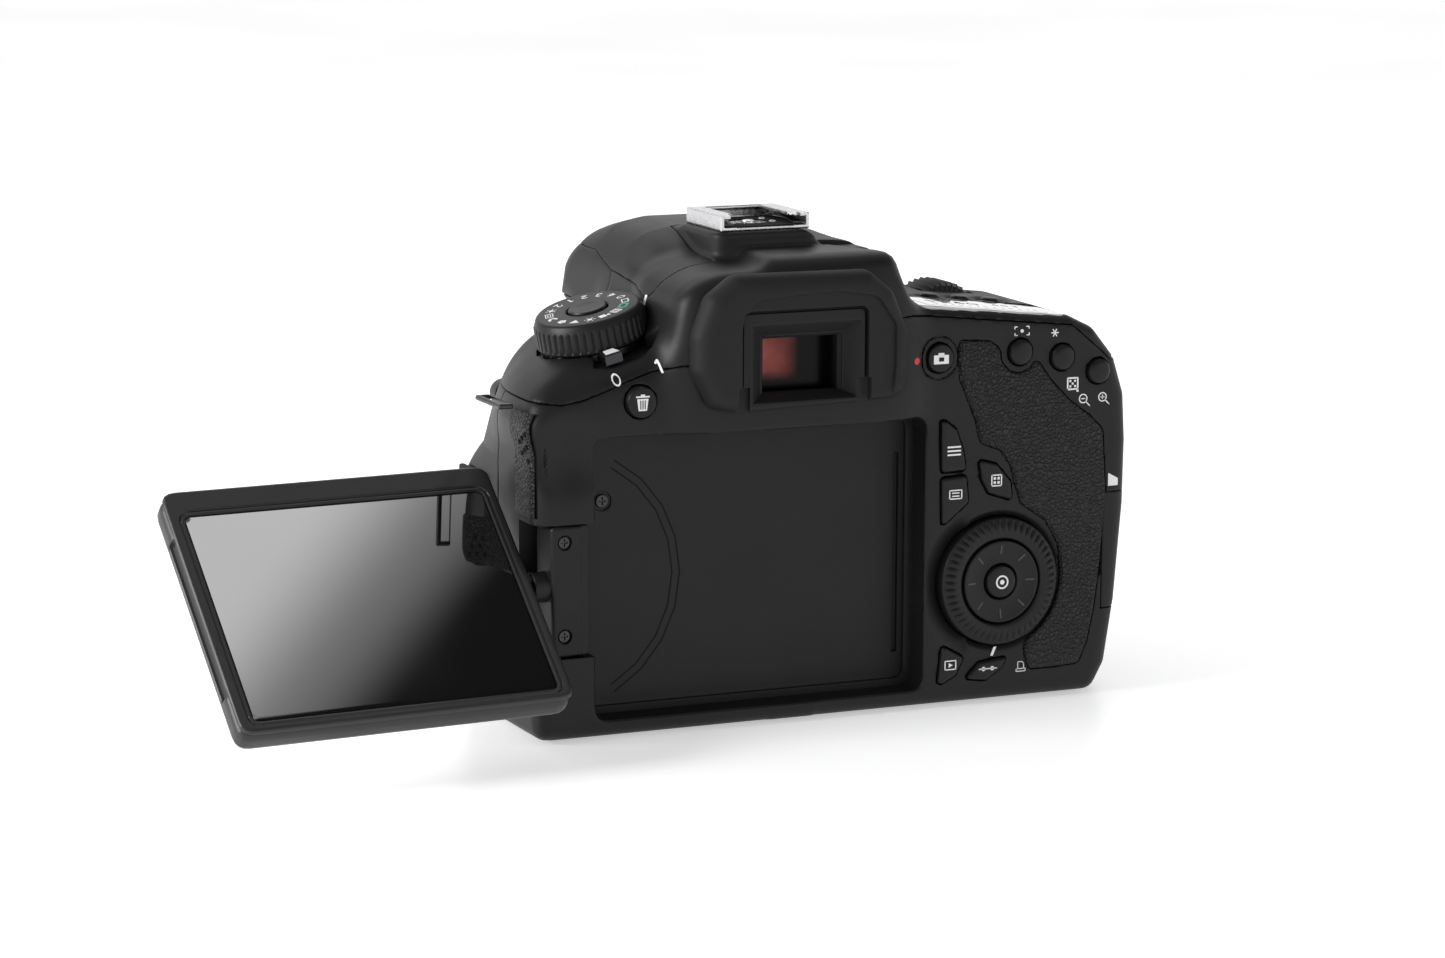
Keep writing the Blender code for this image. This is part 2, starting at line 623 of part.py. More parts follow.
def covers(rear_holes, top_holes, front_holes, floor_holes):
    top_gap, floor_gap = top_region(GAP), floor_region(GAP)
    rear = kept(box("rear_cover", (-80, -5, -1), (95, SEAM_Y - GAP / 2, 110), SHELL), FORM)
    cut(rear, top_gap, floor_gap, HOLLOW, prism("monitor_recess", RECESS, -8, RECESS_DEPTH), *rear_holes)
    front = kept(box("front_cover", (-80, SEAM_Y + GAP / 2, -1), (95, 80, 110), SHELL), FORM)
    cut(front, top_gap, floor_gap, HOLLOW, *front_holes)
    top = prism("top_cover", rectangle((-80, 60), (95, 112)), -5, 80, "Y", SHELL)
    kept(top, FORM, top_region(0))
    cut(top, HOLLOW, *top_holes)
    floor = kept(box("bottom_cover", (-80, 0, -1), (95, 75, 10), SHELL), FORM, floor_region(0))
    cut(floor, *floor_holes)


# ---- inside -----------------------------------------------------------------------------------

MIRROR_PIVOT = (0.0, 31.5, 61.0)
SUB_PIVOT_ALONG = 12.0  # from the mirror's pivot, down the mirror
SUB_PIVOT_BEHIND = 1.7


def slope_frame(pivot):
    """Local Y down a mirror that leans at 45 degrees, local Z out of its silvered side."""
    return Matrix.Translation(place(*pivot)) @ Matrix.Rotation(math.radians(-45), 4, "X")


def sub_pivot():
    down, out = Vector((0, 1, -1)).normalized(), Vector((0, 1, 1)).normalized()
    return Vector(MIRROR_PIVOT) + down * SUB_PIVOT_ALONG - out * SUB_PIVOT_BEHIND


def optics():
    case = box("mirror_box", (-23, 28.5, 22), (23, 61.6, 68), BLACK_METAL)
    cut(
        case,
        box("mirror_room", (-19, 30.2, 26), (19, 70, 75)),
        box("film_gate", (-13, 20, 37), (13, 35, 55)),
    )
    box("mirror", (-15, 0.6, -1.0), (15, 28, 0), GLASS, frame=slope_frame(MIRROR_PIVOT))
    box("sub_mirror", (-8, -0.4, -10), (8, 0.4, -0.5), GLASS, frame=slope_frame(sub_pivot()))
    box("focusing_screen", (-17, 32, 68.3), (17, 59.5, 69.8), GLASS)
    wedge = rounded([(22, 70.1), (58, 70.1), (58, 76), (46, 85.6), (30, 85.6), (22, 80)], 1.0, 1)
    prism("pentamirror", wedge, -15, 15, "X", PALE)
    box("sensor_unit", (-22, 18, 27), (22, SENSOR_Y, 65), BOARD)
    box("main_board", (-50, 12.2, 8), (41, 13.8, 62), BOARD)
    box("sd_card", (41.5, 14.4, 19), (72, 16.5, 43), BUTTON)
    box("battery", (52, 18.4, 4.2), (73, 56.8, 61), BUTTON, 1.0)
    ring = drum("lens_mount_ring", (0, BOSS_FRONT + GAP, LENS_Z), (0, 1, 0), 32.5, 3.2, STEEL, 0.3, 40)
    cut(ring, drum("mount_hole", (0, 55, LENS_Z), (0, 1, 0), 27.0, 30, sides=40))
    socket = drum("tripod_socket", (0, 38, 0.0), (0, 0, 1), 8.0, 7.0, STEEL, 0.3, 24)
    cut(socket, drum("socket_hole", (0, 38, -2), (0, 0, 1), 3.2, 7.0, sides=20))
    return [drum("socket_seat", (0, 38, -3), (0, 0, 1), 8.3, 12, sides=24)]


def build():
    thumb = thumb_pad()
    rear = key_pieces() + wheel_pieces() + thumb + hinge_pieces() + card_door() + side_rubber()
    monitor_pieces()
    top = mode_dial_pieces() + top_panel_pieces() + main_dial() + eyepiece()
    hot_shoe()
    flash_room = flash_head()
    shutter = shutter_key()
    front = side_flaps() + grip_rubber() + front_keys() + shutter
    floor = optics() + battery_door()
    strap_lugs()
    covers(rear, top + shutter + flash_room, front + top + floor + flash_room, floor)


build()
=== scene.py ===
"""Looks of the reflex camera with its swivel monitor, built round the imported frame.

Shapes are worked out in millimetres as distance functions of (x, y, z), with x to the right, y
forwards from the flat rear face and z up from the base, and are turned into meshes by dual
contouring: one vertex per cell, set where the crossing planes meet, so crisp edges stay crisp.
"""

import json
import math
from concurrent.futures import ThreadPoolExecutor

import bmesh
import bpy
import numpy as np
from mathutils import Matrix, Vector

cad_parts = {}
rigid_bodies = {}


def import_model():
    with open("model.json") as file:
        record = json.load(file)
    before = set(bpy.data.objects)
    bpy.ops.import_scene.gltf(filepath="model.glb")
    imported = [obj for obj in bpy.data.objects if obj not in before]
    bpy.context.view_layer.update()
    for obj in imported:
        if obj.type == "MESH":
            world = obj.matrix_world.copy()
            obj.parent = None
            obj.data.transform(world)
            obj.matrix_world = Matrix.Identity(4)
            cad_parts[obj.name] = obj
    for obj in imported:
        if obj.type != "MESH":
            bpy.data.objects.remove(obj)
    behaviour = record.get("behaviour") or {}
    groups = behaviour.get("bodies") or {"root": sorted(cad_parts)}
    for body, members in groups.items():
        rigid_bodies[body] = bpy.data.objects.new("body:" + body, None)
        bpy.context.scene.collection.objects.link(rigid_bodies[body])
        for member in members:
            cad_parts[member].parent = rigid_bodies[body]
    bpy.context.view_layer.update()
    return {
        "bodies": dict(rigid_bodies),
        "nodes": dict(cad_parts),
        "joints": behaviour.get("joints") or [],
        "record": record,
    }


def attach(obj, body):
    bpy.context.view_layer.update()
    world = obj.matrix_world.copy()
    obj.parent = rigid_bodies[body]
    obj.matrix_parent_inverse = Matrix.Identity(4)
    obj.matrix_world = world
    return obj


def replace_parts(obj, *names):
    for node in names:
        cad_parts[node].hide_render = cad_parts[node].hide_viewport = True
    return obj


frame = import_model()

MM = 0.001
SENSOR_Y = 26.0  # rear face to the sensor plane, where the frame has its origin

# ---- places shared with the CAD ---------------------------------------------------------------

LENS_Z = 46.0
SEAM_Y = 22.0  # rear cover meets front cover
SWIVEL = (-50.7, 3.75, 32.5)  # where the swivel axis crosses the tilt axis
SWIVEL_ANGLE = math.radians(176.0)  # opened from the closed position
TILT_ANGLE = math.radians(47.0)  # screen leaned back from upright
DIAL_TOP = (-39.4, 18.3, 87.3)
DIAL_AXIS = Vector((-0.24, -0.085, 0.967)).normalized()
DIAL_HEIGHT = 6.4
WHEEL = (47.9, 26.4)  # centre (x, z) of the rear wheel
FLASH_PIVOT = (0.0, 17.5, 94.0)
TOP_SLOPE = math.atan2(4.8, 42.0)  # fall of the right shoulder towards the grip


def place(x, y, z):
    """A point in metres in the frame, from its place in millimetres."""
    return Vector((x, y - SENSOR_Y, z)) * MM


def basis(origin, right, up):
    """Frame of a face: local X to the right, Y up and Z out of it, with its origin in millimetres."""
    right = Vector(right).normalized()
    up = (Vector(up) - right * Vector(up).dot(right)).normalized()
    return Matrix.Translation(place(*origin)) @ Matrix((right, up, right.cross(up))).transposed().to_4x4()


# ---- distance functions -----------------------------------------------------------------------


def soft_max(a, b, k):
    """The larger of two distances, rounded over about k where they meet."""
    if k <= 0:
        return np.maximum(a, b)
    h = np.maximum(k - np.abs(a - b), 0.0) / k
    return np.maximum(a, b) + h * h * (k * 0.25)


def soft_min(a, b, k):
    """The smaller of two distances, rounded over about k where they meet."""
    return -soft_max(-a, -b, k)


def block(p, low, high, radius=0.0):
    """A box between two corners with rounded edges."""
    outside = 0.0
    deepest = None
    for axis in range(3):
        middle, half = (low[axis] + high[axis]) / 2, (high[axis] - low[axis]) / 2 - radius
        d = np.abs(p[axis] - middle) - half
        outside = outside + np.maximum(d, 0.0) ** 2
        deepest = d if deepest is None else np.maximum(deepest, d)
    return np.sqrt(outside) + np.minimum(deepest, 0.0) - radius


def rounded(corners, radius, steps=4):
    """The outline with each corner replaced by an arc of about this radius."""
    count = len(corners)
    outline = []
    for index, corner in enumerate(corners):
        here = Vector(corner)
        before = Vector(corners[index - 1]) - here
        after = Vector(corners[(index + 1) % count]) - here
        half = before.angle(after) / 2
        reach = min(radius / math.tan(half), 0.46 * before.length, 0.46 * after.length)
        if reach < 1e-3 or half > 1.55:
            outline.append(tuple(here))
            continue
        start, end = here + before.normalized() * reach, here + after.normalized() * reach
        for step in range(steps + 1):
            t = step / steps
            outline.append(tuple(start * (1 - t) ** 2 + here * 2 * t * (1 - t) + end * t ** 2))
    return outline


def polygon(u, v, corners):
    """Distance to a flat outline, negative inside."""
    u, v = np.broadcast_arrays(np.asarray(u, np.float32), np.asarray(v, np.float32))
    best = np.full(u.shape, 1e9, np.float32)
    inside = np.zeros(u.shape, bool)
    ax, ay = corners[-1]
    for bx, by in corners:
        ex, ey = bx - ax, by - ay
        wx, wy = u - ax, v - ay
        t = np.clip((wx * ex + wy * ey) / (ex * ex + ey * ey), 0.0, 1.0)
        best = np.minimum(best, (wx - ex * t) ** 2 + (wy - ey * t) ** 2)
        if by != ay:
            inside ^= ((ay > v) != (by > v)) & ((wx * ey < wy * ex) != (ey < 0))
        ax, ay = bx, by
    return np.where(inside, -1.0, 1.0) * np.sqrt(best)


def cylinder(p, centre, axis, radius, low, high, edge=0.0):
    """A cylinder round an axis from centre, between two distances along it."""
    along, out = round_axis(p, centre, axis)
    return soft_max(out - radius, np.abs(along - (low + high) / 2) - (high - low) / 2, edge)


def round_axis(p, centre, axis):
    """Distance along an axis and distance from it."""
    dx, dy, dz = (p[i] - centre[i] for i in range(3))
    along = dx * axis[0] + dy * axis[1] + dz * axis[2]
    return along, np.sqrt(np.maximum(dx * dx + dy * dy + dz * dz - along * along, 0.0))


def between(value, low, high):
    """Negative between the two values."""
    return np.abs(value - (low + high) / 2) - (high - low) / 2


# ---- dual contouring --------------------------------------------------------------------------


def sampled(form, low, size, step):
    """The form's values on a grid, worked out slab by slab on all cores."""
    axes = [low[i] + step * np.arange(size[i], dtype=np.float32) for i in range(3)]
    values = np.empty(size, np.float32)

    def slab(start):
        part = axes[0][start:start + 6]
        values[start:start + 6] = form((part[:, None, None], axes[1][None, :, None], axes[2][None, None, :]))

    with ThreadPoolExecutor(4) as pool:
        list(pool.map(slab, range(0, size[0], 6)))
    return values


def gradient(form, points):
    """Unit normals of the form at points, by central differences."""
    reach = 0.02
    normal = np.empty_like(points)

    def part(start):
        here = points[start:start + 20000]
        for axis in range(3):
            ahead, behind = here.copy(), here.copy()
            ahead[:, axis] += reach
            behind[:, axis] -= reach
            normal[start:start + 20000, axis] = form(tuple(ahead.T)) - form(tuple(behind.T))

    with ThreadPoolExecutor(4) as pool:
        list(pool.map(part, range(0, len(points), 20000)))
    return normal / np.maximum(np.linalg.norm(normal, axis=1, keepdims=True), 1e-9)


def contour(form, low, high, step):
    """Vertices and quads of the surface where the form is zero."""
    low = np.array(low, np.float64) - 2.5 * step
    size = [int((high[i] + 2.5 * step - low[i]) / step) + 1 for i in range(3)]
    values = sampled(form, low, size, step)
    inside = values < 0
    strides = np.array([size[1] * size[2], size[2], 1], np.int64)
    crossings, owners, quads = [], [], []
    for axis in range(3):
        near = [slice(1, -1)] * 3
        far = [slice(1, -1)] * 3
        far[axis] = slice(2, None)
        here, there = inside[tuple(near)], inside[tuple(far)]
        at = np.argwhere(here != there)
        if not len(at):
            continue
        at += 1
        first = values[tuple(at.T)].astype(np.float64)
        ends = at.copy()
        ends[:, axis] += 1
        last = values[tuple(ends.T)].astype(np.float64)
        point = low + step * at
        point[:, axis] += step * first / (first - last)
        flat = at @ strides
        one, two = strides[(axis + 1) % 3], strides[(axis + 2) % 3]
        cells = np.stack([flat - one - two, flat - two, flat, flat - one], axis=1)
        crossings.append(point)
        owners.append(cells)
        rising = inside[tuple(at.T)]
        quads.append(np.where(rising[:, None], cells, cells[:, ::-1]))
    point, cells, quad = np.concatenate(crossings), np.concatenate(owners), np.concatenate(quads)
    normal = gradient(form, point)
    used, index = np.unique(cells.reshape(-1), return_inverse=True)
    index = index.reshape(-1)
    count = np.bincount(index)
    spread = np.repeat(point, 4, axis=0)
    normals = np.repeat(normal, 4, axis=0)
    centre = np.stack([np.bincount(index, spread[:, i]) for i in range(3)], axis=1) / count[:, None]
    offset = np.einsum("ij,ij->i", normals, spread - centre[index])
    matrix = np.empty((len(used), 3, 3))
    for i in range(3):
        for j in range(3):
            matrix[:, i, j] = np.bincount(index, normals[:, i] * normals[:, j])
        matrix[:, i, i] += 0.05
    right = np.stack([np.bincount(index, normals[:, i] * offset) for i in range(3)], axis=1)
    shift = np.linalg.solve(matrix, right[..., None])[..., 0]
    vertex = centre + np.clip(shift, -step, step)
    return vertex, np.searchsorted(used, quad)


# ---- making pieces ----------------------------------------------------------------------------


def finished(name, mesh, skin, body, turn=None, sharp=35.0):
    """Puts a mesh in the scene, smooth between sharp edges, and hangs it on its body."""
    mesh.materials.clear()
    mesh.materials.append(skin)
    mesh.shade_smooth()
    mesh.set_sharp_from_angle(angle=math.radians(sharp))
    made = bpy.data.objects.new(name, mesh)
    bpy.context.scene.collection.objects.link(made)
    if turn is not None:
        made.matrix_world = turn
    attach(made, body)
    return made


def solid(name, form, low, high, step, skin, body, turn=None):
    """A piece made from a form. Without a turn, the form's coordinates are the camera's own."""
    vertex, quad = contour(form, low, high, step)
    if turn is None:
        vertex = vertex - np.array([0.0, SENSOR_Y, 0.0])
    mesh = bpy.data.meshes.new(name)
    mesh.from_pydata((vertex * MM).tolist(), [], quad.tolist())
    return finished(name, mesh, skin, body, turn)


# ---- materials --------------------------------------------------------------------------------


def skin(name, colour, roughness, metallic=0.0, **sockets):
    """A material and its shader."""
    made = bpy.data.materials.new(name)
    made.use_nodes = True
    shader = made.node_tree.nodes["Principled BSDF"]
    shader.inputs["Base Color"].default_value = (*colour, 1.0)
    shader.inputs["Roughness"].default_value = roughness
    shader.inputs["Metallic"].default_value = metallic
    for socket, value in sockets.items():
        shader.inputs[socket.replace("_", " ")].default_value = value
    return made, shader


def node(made, kind, values=None, **inputs):
    """Adds a node. Inputs are sockets to link or plain values, by name or by number."""
    added = made.node_tree.nodes.new(kind)
    for key, value in (values or {}).items():
        setattr(added, key, value)
    for key, value in inputs.items():
        socket = added.inputs[int(key[1:])] if key[1:].isdigit() else added.inputs[key.replace("_", " ")]
        if isinstance(value, bpy.types.NodeSocket):
            made.node_tree.links.new(value, socket)
        else:
            socket.default_value = value
    return added.outputs


def link(made, source, target):
    """Joins two sockets of a material or world."""
    made.node_tree.links.new(source, target)


def blended(made, shader, amount, dark, light):
    """Sets the colour to a mix of two tones. A colour mix takes them at sockets 6 and 7."""
    tones = node(made, "ShaderNodeMix", {"data_type": "RGBA"}, i0=amount, i6=(*dark, 1.0), i7=(*light, 1.0))
    link(made, tones[2], shader.inputs["Base Color"])


def mottled(made, shader, where, scale, dark, light, low, high):
    """Varies the colour between two tones, and the roughness between two values, in soft patches."""
    patches = node(made, "ShaderNodeTexNoise", Vector=where, Scale=scale, Detail=5.0)["Fac"]
    blended(made, shader, patches, dark, light)
    spread = node(
        made, "ShaderNodeMapRange", i0=patches, From_Min=0.3, From_Max=0.7, To_Min=low, To_Max=high
    )["Result"]
    link(made, spread, shader.inputs["Roughness"])


def moulded(name, dark, light, low, high, grain=2600.0, depth=0.00004, strength=0.5, gloss=0.24):
    """Spark-eroded plastic: an even fine grain, with a faint sheen."""
    made, shader = skin(name, light, low, Specular_IOR_Level=gloss)
    where = node(made, "ShaderNodeTexCoord")["Object"]
    mottled(made, shader, where, 60.0, dark, light, low, high)
    fine = node(made, "ShaderNodeTexNoise", Vector=where, Scale=grain, Detail=2.0, Roughness=0.6)["Fac"]
    bump = node(made, "ShaderNodeBump", Strength=strength, Distance=depth, Height=fine)["Normal"]
    link(made, bump, shader.inputs["Normal"])
    return made


def leather(name, dark, light, cell, depth):
    """Rubber with a leather grain: rounded pebbles of about the given size, with creases between, where the colour
    falls to the dark tone as painted shade.
    """
    made, shader = skin(name, light, 0.6, Specular_IOR_Level=0.38)
    where = node(made, "ShaderNodeTexCoord")["Object"]
    warp = node(made, "ShaderNodeTexNoise", Vector=where, Scale=0.45 / cell, Detail=2.0)["Color"]
    added = node(made, "ShaderNodeVectorMath", {"operation": "MULTIPLY_ADD"}, i0=warp, i2=where)
    added["Vector"].node.inputs[1].default_value = (cell * 1.1,) * 3
    edges = {"feature": "DISTANCE_TO_EDGE"}
    cells = node(made, "ShaderNodeTexVoronoi", edges, Vector=added["Vector"], Scale=1.0 / cell)["Distance"]
    pebble = node(made, "ShaderNodeMapRange", i0=cells, From_Min=0.0, From_Max=0.28)["Result"]
    fine = node(made, "ShaderNodeTexNoise", Vector=where, Scale=3.2 / cell, Detail=3.0)["Fac"]
    mixed = node(made, "ShaderNodeMath", {"operation": "MULTIPLY_ADD"}, i0=fine, i1=0.35, i2=pebble)["Value"]
    bump = node(made, "ShaderNodeBump", Strength=0.9, Distance=depth, Height=mixed)["Normal"]
    link(made, bump, shader.inputs["Normal"])
    # painted shade: the colour runs from the light tone on the pebbles to the dark tone in the creases between them
    blended(made, shader, pebble, dark, light)
    gloss = node(made, "ShaderNodeMapRange", i0=fine, To_Min=0.42, To_Max=0.6)["Result"]
    link(made, gloss, shader.inputs["Roughness"])
    return made


def brushed(name, colour, low, high):
    """Metal whose gloss varies finely, as after tumbling or light wear."""
    made, shader = skin(name, colour, low, 1.0)
    where = node(made, "ShaderNodeTexCoord")["Object"]
    lines = node(made, "ShaderNodeTexNoise", Vector=where, Scale=900.0, Detail=3.0)["Fac"]
    gloss = node(made, "ShaderNodeMapRange", i0=lines, From_Min=0.35, From_Max=0.65, To_Min=low, To_Max=high)
    link(made, gloss["Result"], shader.inputs["Roughness"])
    bump = node(made, "ShaderNodeBump", Strength=0.25, Distance=0.00002, Height=lines)["Normal"]
    link(made, bump, shader.inputs["Normal"])
    return made


def paint(name, colour, roughness=0.45):
    """Printed ink, slightly uneven."""
    made, shader = skin(name, colour, roughness)
    where = node(made, "ShaderNodeTexCoord")["Object"]
    pale = tuple(min(1.0, c * 1.06) for c in colour)
    mottled(made, shader, where, 1500.0, tuple(c * 0.9 for c in colour), pale, roughness, roughness + 0.1)
    return made


SHELL = moulded("shell_plastic", (0.0062, 0.0062, 0.0065), (0.0095, 0.0095, 0.0098), 0.40, 0.50)
# the monitor's plastic: glossier than the shell, which is its finish, and lighter in colour, which is painted light
# for the brighter tone of the tilted panel
LIT_PANEL_SHELL = moulded("panel_plastic_painted_lighter", (0.013, 0.013, 0.0135), (0.017, 0.017, 0.0175), 0.36, 0.46, gloss=0.5)
KEY = moulded("key_plastic", (0.0058, 0.0058, 0.006), (0.0085, 0.0085, 0.0088), 0.32, 0.42, 3200.0)
DIAL = moulded("dial_plastic", (0.0065, 0.0065, 0.0068), (0.0105, 0.0105, 0.0108), 0.36, 0.46, 3000.0)
SOFT = moulded("eyecup_rubber", (0.0085, 0.0085, 0.009), (0.0125, 0.0125, 0.0128), 0.56, 0.68, 1800.0)
# the dark tone here is painted shade in the creases of the grain
HIDE = leather("grip_leather", (0.0030, 0.0030, 0.0032), (0.0125, 0.0125, 0.013), 0.00092, 0.00040)
STEEL = brushed("bright_steel", (0.62, 0.62, 0.63), 0.18, 0.32)
DARK_METAL = brushed("dark_metal", (0.055, 0.055, 0.058), 0.28, 0.42)
WHITE_INK = paint("white_ink", (0.80, 0.80, 0.80))
GREY_INK = paint("grey_ink", (0.045, 0.045, 0.047))
GREEN_INK = paint("green_ink", (0.02, 0.42, 0.24))
RED_INK = paint("red_ink", (0.55, 0.03, 0.03))


def clear_pane(name, dark, light, roughness, coat, low=0.02, high=0.05):
    """A polished pane over a dark or a pale field, with the faint unevenness of a wiped surface."""
    made, shader = skin(
        name, light, roughness, IOR=1.9, Coat_Weight=coat, Coat_Roughness=0.02, Specular_IOR_Level=0.6
    )
    where = node(made, "ShaderNodeTexCoord")["Object"]
    mottled(made, shader, where, 25.0, dark, light, low, high)
    return made


def lined(name, dark, light, scale, metallic, roughness):
    """Fine lines of pads or tracks over a plain ground."""
    made, shader = skin(name, light, roughness, metallic)
    where = node(made, "ShaderNodeTexCoord")["Object"]
    wave = node(
        made, "ShaderNodeTexBrick", Vector=where, Scale=scale, Color1=(*dark, 1.0), Color2=(*light, 1.0),
        Mortar=(*light, 1.0)
    )
    link(made, wave["Color"], shader.inputs["Base Color"])
    return made


def glass_with_painted_reflection():
    """The finder's lens, near black, with a painted reflection: a red patch in the colour its coating reflects,
    towards one side and the top, falling off to black.
    """
    made, shader = skin("eyepiece_glass_painted_reflection", (0.01, 0.002, 0.002), 0.22, Specular_IOR_Level=0.12)
    where = node(made, "ShaderNodeTexCoord")["Object"]
    apart = node(made, "ShaderNodeSeparateXYZ", Vector=where)
    cloud = node(made, "ShaderNodeTexNoise", Vector=where, Scale=160.0, Detail=2.0)["Fac"]
    side = node(
        made, "ShaderNodeMapRange", i0=apart["X"], From_Min=-0.0065, From_Max=0.0015, To_Min=1.0, To_Max=0.0
    )["Result"]
    top = node(
        made, "ShaderNodeMapRange", i0=apart["Z"], From_Min=0.0722, From_Max=0.0745, To_Min=0.0, To_Max=1.0
    )["Result"]
    # painted reflection: the red patch lies where the side and top masks overlap, and noise breaks it up
    reflection_patch = node(made, "ShaderNodeMath", {"operation": "MULTIPLY"}, i0=side, i1=top)["Value"]
    painted_reflection = node(made, "ShaderNodeMath", {"operation": "MULTIPLY"}, i0=reflection_patch, i1=cloud)["Value"]
    ramp = node(made, "ShaderNodeValToRGB", i0=painted_reflection)["Color"]
    steps = ramp.node.color_ramp.elements
    steps[0].color, steps[1].color = (0.003, 0.002, 0.002, 1.0), (0.42, 0.10, 0.085, 1.0)
    steps[1].position = 0.55
    link(made, ramp, shader.inputs["Base Color"])
    return made


PANE = clear_pane("screen_pane", (0.004, 0.004, 0.0045), (0.006, 0.006, 0.0065), 0.03, 1.0)
TOP_GLASS = clear_pane("top_display_pane", (0.38, 0.38, 0.38), (0.44, 0.44, 0.44), 0.06, 1.0, 0.05, 0.09)
LCD_FIELD = clear_pane("display_field", (0.40, 0.42, 0.40), (0.46, 0.48, 0.46), 0.2, 1.0, 0.06, 0.10)
EYE_GLASS = glass_with_painted_reflection()
LAMP_PANEL = clear_pane("flash_panel", (0.55, 0.55, 0.56), (0.65, 0.65, 0.66), 0.15, 0.4, 0.12, 0.2)
SENSOR = clear_pane("sensor_face", (0.02, 0.03, 0.05), (0.05, 0.04, 0.08), 0.08, 1.0)
FROST = clear_pane("focusing_matt", (0.5, 0.5, 0.5), (0.6, 0.6, 0.6), 0.4, 0.0, 0.35, 0.5)
SILVER = brushed("mirror_silver", (0.86, 0.87, 0.88), 0.04, 0.08)
BOARD = lined("circuit_board", (0.01, 0.06, 0.03), (0.015, 0.09, 0.045), 900.0, 0.0, 0.45)
BATTERY = moulded("battery_plastic", (0.02, 0.02, 0.022), (0.03, 0.03, 0.032), 0.45, 0.55)
CARD = lined("card_plastic", (0.02, 0.03, 0.10), (0.03, 0.04, 0.14), 300.0, 0.0, 0.5)
BLACK = moulded("matt_black", (0.002, 0.002, 0.002), (0.004, 0.004, 0.004), 0.85, 0.95)

# ---- outer form of the covers -----------------------------------------------------------------

SIDE = rounded(
    [
        (-57.8, 0.0), (-57.8, 60.0), (-59.4, 66.0), (-59.4, 98.0), (24.0, 98.0), (24.0, 87.0),
        (65.0, 82.5), (71.0, 79.6), (76.2, 73.2), (78.8, 65.0), (79.4, 55.0), (79.2, 41.0), (77.5, 20.0),
        (75.3, 6.0), (72.0, 0.0),
    ],
    4.0,
)
GRIP_PLAN = rounded(
    [
        (44, 20), (44, 46), (48.5, 61), (57, 69.5), (66, 72), (76, 69.5), (82, 60), (83.8, 44), (83, 24),
        (79, 8), (72, 8),
    ],
    9.0,
)
GRIP_SIDE = rounded(
    [(4, 0.12), (4, 79.3), (40, 81.1), (54, 79.2), (64, 75.5), (71, 66), (72, 50), (70.5, 4), (68, 0.12)],
    5.0
)
GRIP_FRONT = rounded(
    [
        (30, -1), (30, 92), (64, 81.4), (73, 77.2), (80, 68), (83.6, 56), (84.4, 20), (82, 6), (78.5, 0),
        (78.5, -1)
    ], 6.0
)
HUMP_FRONT = rounded(
    [
        (-26.2, 55), (-26.2, 84), (-25.4, 93), (-19.0, 101.0), (-12, 103.6), (12, 103.6), (18, 99.6),
        (24.4, 92.3), (27.0, 81), (27.0, 55),
    ],
    9.0,
)
HUMP_SIDE = rounded(
    [
        (0.2, 60), (0.2, 91.0), (4, 92.6), (14, 93.6), (22, 95.2), (29, 98.8), (36.5, 102.6), (53.6, 103.2),
        (64.5, 98.6), (69.5, 91.0), (71, 81.5), (62, 79.6), (62, 60),
    ],
    4.0,
)
DIAL_FOOT = tuple(Vector(DIAL_TOP) - DIAL_AXIS * DIAL_HEIGHT)


def left_body(p):
    """The end with the mode dial, whose top slopes away to the side and to the rear."""
    x, y, z = p
    top = sum((p[i] - DIAL_FOOT[i]) * DIAL_AXIS[i] for i in range(3))
    side = soft_max(polygon(x, z, SIDE), between(y, 0.0, 46.0), 4.5)
    corner = 0.406 * y - 0.914 * x - np.interp(z, [50, 57, 66, 74, 82], [73, 66.2, 63.4, 61, 58.5])
    side = soft_max(side, corner, 6.0)
    return soft_max(soft_max(side, top, 12.0), x - 6.0, 2.0)


def right_body(p):
    """The end with the display and the rear wheel."""
    x, y, z = p
    slab = soft_max(polygon(x, z, SIDE), between(y, 0.0, 46.0), 4.5)
    return soft_max(slab, -6.0 - x, 2.0)


def grip(p):
    """The hand grip, from its plan, side and front outlines."""
    x, y, z = p
    form = soft_max(polygon(x, y, GRIP_PLAN), polygon(y, z, GRIP_SIDE), 5.0)
    return soft_max(form, polygon(x, z, GRIP_FRONT), 5.0)


def hump(p):
    """The prism housing, ahead of the finder."""
    x, y, z = p
    return soft_max(polygon(x, z, HUMP_FRONT), polygon(y, z, HUMP_SIDE), 7.0)


def finder(p):
    """The rounded housing behind the eyecup."""
    x, y, z = p
    wide = 26.3 - 0.12 * np.maximum(z - 78.0, 0.0)
    side = np.abs(x + 0.6) - wide
    form = soft_max(side, between(z, 60.0, 95.6), 13.0)
    return soft_max(form, between(y, -2.2, 22.0), 5.0)


def shoe_block(p):
    """The raised block under the accessory shoe."""
    x, y, z = p
    return soft_max(soft_max(np.abs(x - 0.2) - 12.1, between(y, 14.6, 36.0), 4.0), z - 102.0, 1.2)


def boss(p):
    """The round swelling behind the lens mount, and its foot."""
    x, y, z = p
    ring = cylinder(p, (0, 39.7, LENS_Z), (0, 1, 0), 37.0, 0.0, 26.8, 2.0)
    foot = soft_max(soft_max(np.abs(x) - 33.0, between(z, 0.2, 40.0), 3.0), between(y, 40.0, 60.0), 4.0)
    return soft_min(ring, foot, 6.0)


